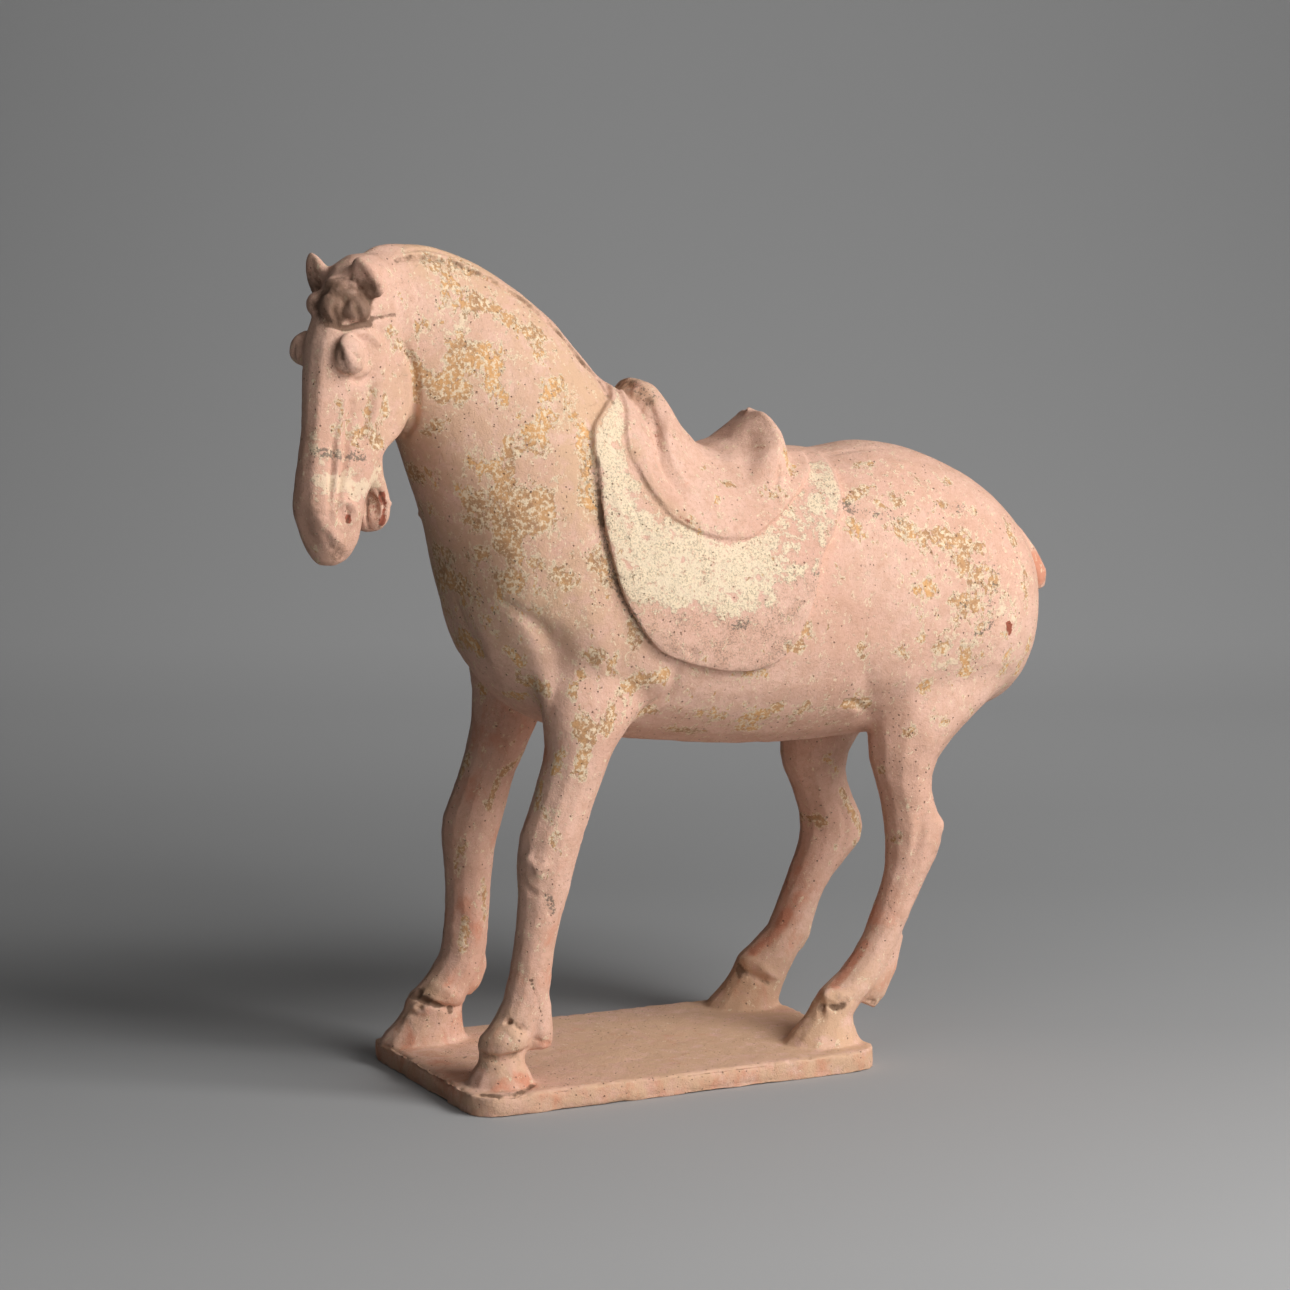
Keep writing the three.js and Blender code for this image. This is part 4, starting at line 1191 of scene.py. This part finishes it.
    def wear(self, skin: Skin) -> None:
        """Make the clay as uneven as hand and ground left it, and chip the slab's edges.

        Args:
            skin: The surface to wear.
        """
        spots = skin.spots
        height = spots[:, 2]
        above = smooth_step(-SLAB_PARTS + 0.3, -SLAB_PARTS + 1.5, height)
        rough = 1.0 + 1.2 * smooth_step(230, 150, height) * smooth_step(-4, 10, height)
        head = smooth_step(-180, -200, spots[:, 0]) * smooth_step(300, 320, height)
        amounts = np.zeros(len(spots))
        weights = (1.0, rough, rough + head)
        for seed, ((size, depth), weight) in enumerate(zip(self.unevenness, weights), 1):
            amounts += depth * weight * lattice_noise(spots, size, seed)
        amounts *= above
        rim = self.slab_rim(spots)
        on_slab = smooth_step(1.5, 0.0, height)
        for edge_height, loss in ((0.0, 1.0), (-SLAB_PARTS, 0.55)):
            nearness = np.exp(-(rim**2 + (height - edge_height) ** 2) / 9.0) * on_slab
            chips = smooth_step(0.05, 0.6, lattice_noise(spots, 13.0, 7)) + 0.5 * lattice_noise(spots, 4.0, 8)
            amounts -= loss * nearness * (0.35 + 1.5 * chips)
        sides = on_slab * smooth_step(3.0, 1.0, rim) * above
        amounts += sides * (0.5 * lattice_noise(spots, 22.0, 9) + 0.3 * lattice_noise(spots, 6.0, 10) - 0.5)
        skin.raise_by(np.where(height < -SLAB_PARTS + 0.3, np.minimum(amounts, 0.0), amounts))
        skin.spots[:, 2] = np.maximum(skin.spots[:, 2], -SLAB_PARTS)

    def thin(self) -> None:
        """Leave out triangles where the skin is nearly flat."""
        mesh = self.piece.data
        mesh.calc_loop_triangles()
        share = self.triangles / len(mesh.loop_triangles)
        LOG.info("%s: %d triangles before thinning", self.name, len(mesh.loop_triangles))
        if share < 1.0:
            thinning = self.piece.modifiers.new("thinning", "DECIMATE")
            thinning.ratio = share
            bpy.ops.object.modifier_apply(modifier=thinning.name)
        bpy.ops.object.shade_smooth()

    def keep_in_box(self, skin: Skin) -> None:
        """Bring points that the wear or the thinning pushed out of the solid's box back to its faces.

        Args:
            skin: The thinned surface.
        """
        lower, upper = (in_parts(np.array(corner)) for corner in CAD_BOX)
        skin.spots = np.clip(skin.spots, lower, upper)
        skin.write()

    def mark(self, skin: Skin) -> None:
        """Work out where each stain, layer and hollow lies, and keep it on the mesh.

        Args:
            skin: The finished surface.
        """
        spots = skin.spots
        side = smooth_step(0.1, 0.3, np.abs(skin.normals[:, 1])) * smooth_step(236, 242, spots[:, 2])
        cloth = np.clip(CLOTH.inside(spots) / 20.0, -1.0, 1.0)
        pad = np.clip(PAD.inside(spots) / 20.0, -1.0, 1.0)
        on_cloth = np.minimum(cloth, -pad) * side - (1.0 - side)
        skin.keep("cloth", 0.5 + 0.5 * np.clip(on_cloth, -1.0, 1.0))
        # The strokes' darkening: soil lodged in them and painted shade in their creases
        dirt_and_shade = np.zeros(len(spots))
        for stroke in STROKES:
            if stroke.dirt_and_shade:
                for line in skin.lines(stroke):
                    near, share, _ = skin.nearness(line, stroke.radius)
                    dirt_and_shade[near] = np.maximum(dirt_and_shade[near], stroke.dirt_and_shade * np.minimum(1.6 * share, 1.0))
        # Painted shade: every hollow of the skin is darkened, as shade would lie in it
        hollow = skin.hollows(self.hollow_passes)
        dirt_and_shade = np.maximum(dirt_and_shade, 0.8 * smooth_step(0.05, 0.3, hollow))
        skin.keep("ridge", smooth_step(0.03, 0.3, -hollow))
        legs = smooth_step(215, 150, spots[:, 2])
        low = smooth_step(70, 30, spots[:, 2]) * smooth_step(1, 8, spots[:, 2])
        belly = smooth_step(-0.2, -0.8, skin.normals[:, 2]) * smooth_step(170, 190, spots[:, 2])
        far = smooth_step(5.0, 25.0, spots[:, 1])
        slab = smooth_step(1.0, -1.0, spots[:, 2])
        slab_side = slab * smooth_step(0.7, 0.3, np.abs(skin.normals[:, 2]))
        base = {
            Tone.EARTH: 0.36 - 0.06 * legs - 0.3 * slab,
            Tone.CREAM: 1.05 * smooth_step(0.0, 0.15, on_cloth) + 0.1 * belly,
            Tone.BUFF: 0.2 + 0.6 * slab,
            Tone.FIRED: 0.1 + 0.25 * legs + 0.15 * low + 0.45 * slab_side,
            # Painted shadow: the legs on the far side are darkened as if the body shadowed them
            Tone.GRIME: dirt_and_shade + 0.3 * legs * far * (1.0 - slab),
            Tone.SOOT: np.full(len(spots), 0.3),
            Tone.RED: np.zeros(len(spots)),
            Tone.PITS: 0.4 + 0.1 * legs,
        }
        for tone, start in base.items():
            skin.keep(tone.value, np.clip(start + skin.cover_of(tone), 0.0, 2.0))

    def dress(self) -> None:
        """Give the figure its painted clay."""
        self.piece.data.materials.clear()
        self.piece.data.materials.append(PaintedClay().build())
        faces = self.piece.data.polygons
        faces.foreach_set("material_index", np.zeros(len(faces), np.int32))


@dataclass(frozen=True)
class Softbox:
    """A soft studio light that hangs about a middle and faces it.

    Args:
        name: What it is.
        aside: How far it stands to the right of the camera, in degrees about the middle.
        above: How high it stands, in degrees over the middle.
        distance: How far it is from the middle, in metres.
        size: The length of its sides, in metres.
        power: Its power, in watts.
        middle: The place it faces, in metres.
    """

    name: str
    aside: float
    above: float
    distance: float
    size: float
    power: float
    middle: Point = (0.0, 0.0, 0.26)

    def build(self) -> bpy.types.Object:
        """Add the light, turned to its middle.

        Returns:
            The light.
        """
        azimuth = VIEWPOINT.azimuth + math.radians(self.aside)
        above = math.radians(self.above)
        outward = Vector((math.sin(azimuth) * math.cos(above), -math.cos(azimuth) * math.cos(above),
                          math.sin(above)))
        bpy.ops.object.light_add(type="AREA", location=Vector(self.middle) + outward * self.distance)
        light = bpy.context.object
        light.name = self.name
        light.data.shape = "SQUARE"
        light.data.size = self.size
        light.data.energy = self.power
        light.rotation_mode = "QUATERNION"
        light.rotation_quaternion = (-outward).to_track_quat("-Z", "Y")
        return light


@dataclass
class Studio:
    """A plain pale sweep of floor and wall, and soft light from the right.

    The wall stands beyond the circle on which the other views' camera moves. The shades are painted light and
    shade: each pair gives a depth along the sweep, in metres, and a factor on the paper's paleness there that
    paints the light falling off.
    """

    half_width: float = 4.5
    front: float = -4.0
    bend_start: float = 1.5
    bend_radius: float = 1.5
    wall_top: float = 4.0
    bend_steps: int = 16
    paper: float = 0.43
    shades: tuple[tuple[float, float], ...] = (
        (-0.4, 0.95), (0.1, 0.8), (0.9, 0.9), (1.8, 1.1), (2.8, 0.9),
    )
    air: float = 0.015
    softboxes: tuple[Softbox, ...] = (
        Softbox("key_softbox", 65.0, 34.0, 2.2, 1.1, 45.0),
        Softbox("low_fill_softbox", 38.0, 14.0, 2.2, 1.6, 20.0),
        Softbox("top_fill_softbox", -8.0, 52.0, 2.2, 1.4, 4.0),
        Softbox("wall_softbox", 0.0, 15.0, 1.3, 1.0, 9.0, (1.0, 2.0, 1.2)),
    )

    def build(self) -> None:
        """Add the sweep, the lights and the soft surrounding light."""
        self.build_sweep()
        for softbox in self.softboxes:
            softbox.build()
        world = bpy.data.worlds.new("studio air")
        world.use_nodes = True
        world.node_tree.nodes["Background"].inputs["Color"].default_value = (1.0, 1.0, 1.0, 1.0)
        world.node_tree.nodes["Background"].inputs["Strength"].default_value = self.air
        bpy.context.scene.world = world
        bpy.context.scene.view_settings.view_transform = "Standard"

    def build_sweep(self) -> bpy.types.Object:
        """Add the floor, which bends up into the wall behind.

        Returns:
            The sweep.
        """
        bpy.ops.mesh.primitive_plane_add(size=1.0)
        sweep = bpy.context.object
        sweep.name = "studio_sweep"
        profile = [(self.front, 0.0)]
        profile += [(y, 0.0) for y, _ in self.shades if y < self.bend_start] + [(self.bend_start, 0.0)]
        for step in range(1, self.bend_steps + 1):
            angle = 0.5 * math.pi * step / self.bend_steps
            profile.append((self.bend_start + self.bend_radius * math.sin(angle),
                            self.bend_radius * (1 - math.cos(angle))))
        profile.append((self.bend_start + self.bend_radius, self.wall_top))
        points = [(side * self.half_width, y, z) for y, z in profile for side in (-1, 1)]
        faces = [(2 * k, 2 * k + 1, 2 * k + 3, 2 * k + 2) for k in range(len(profile) - 1)]
        mesh = bpy.data.meshes.new("studio_sweep")
        mesh.from_pydata(points, [], faces)
        # Painted light and shade: the paper is made darker or paler along its depth
        depths, shades = zip(*self.shades)
        shade = np.repeat(np.interp([y for y, _ in profile], depths, shades), 2).astype(np.float32)
        mesh.attributes.new("shade", "FLOAT", "POINT").data.foreach_set("value", shade)
        sweep.data = mesh
        sweep.rotation_euler = (0.0, 0.0, VIEWPOINT.azimuth)
        bpy.ops.object.transform_apply(location=False, rotation=True, scale=False)
        bpy.ops.object.shade_smooth()
        paper = bpy.data.materials.new("studio_paper")
        paper.use_nodes = True
        shader = paper.node_tree.nodes["Principled BSDF"]
        sheet = Sheet(paper.node_tree)
        sheet.feed(shader.inputs["Base Color"], sheet.sum("MULTIPLY", sheet.attribute("shade"), self.paper))
        sheet.feed(shader.inputs["Roughness"], 0.9)
        sweep.data.materials.append(paper)
        return sweep


def main() -> None:
    """Build the camera, the horse and the studio, and note the model's size."""
    VIEWPOINT.build()
    horse = Horse()
    piece = horse.build()
    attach(piece, "root")
    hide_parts(horse.node)
    LOG.info("%s: %d points", piece.name, len(piece.data.vertices))
    Studio().build()


if __name__ == "__main__":
    logging.basicConfig(level=logging.INFO, format="%(message)s")
    main()
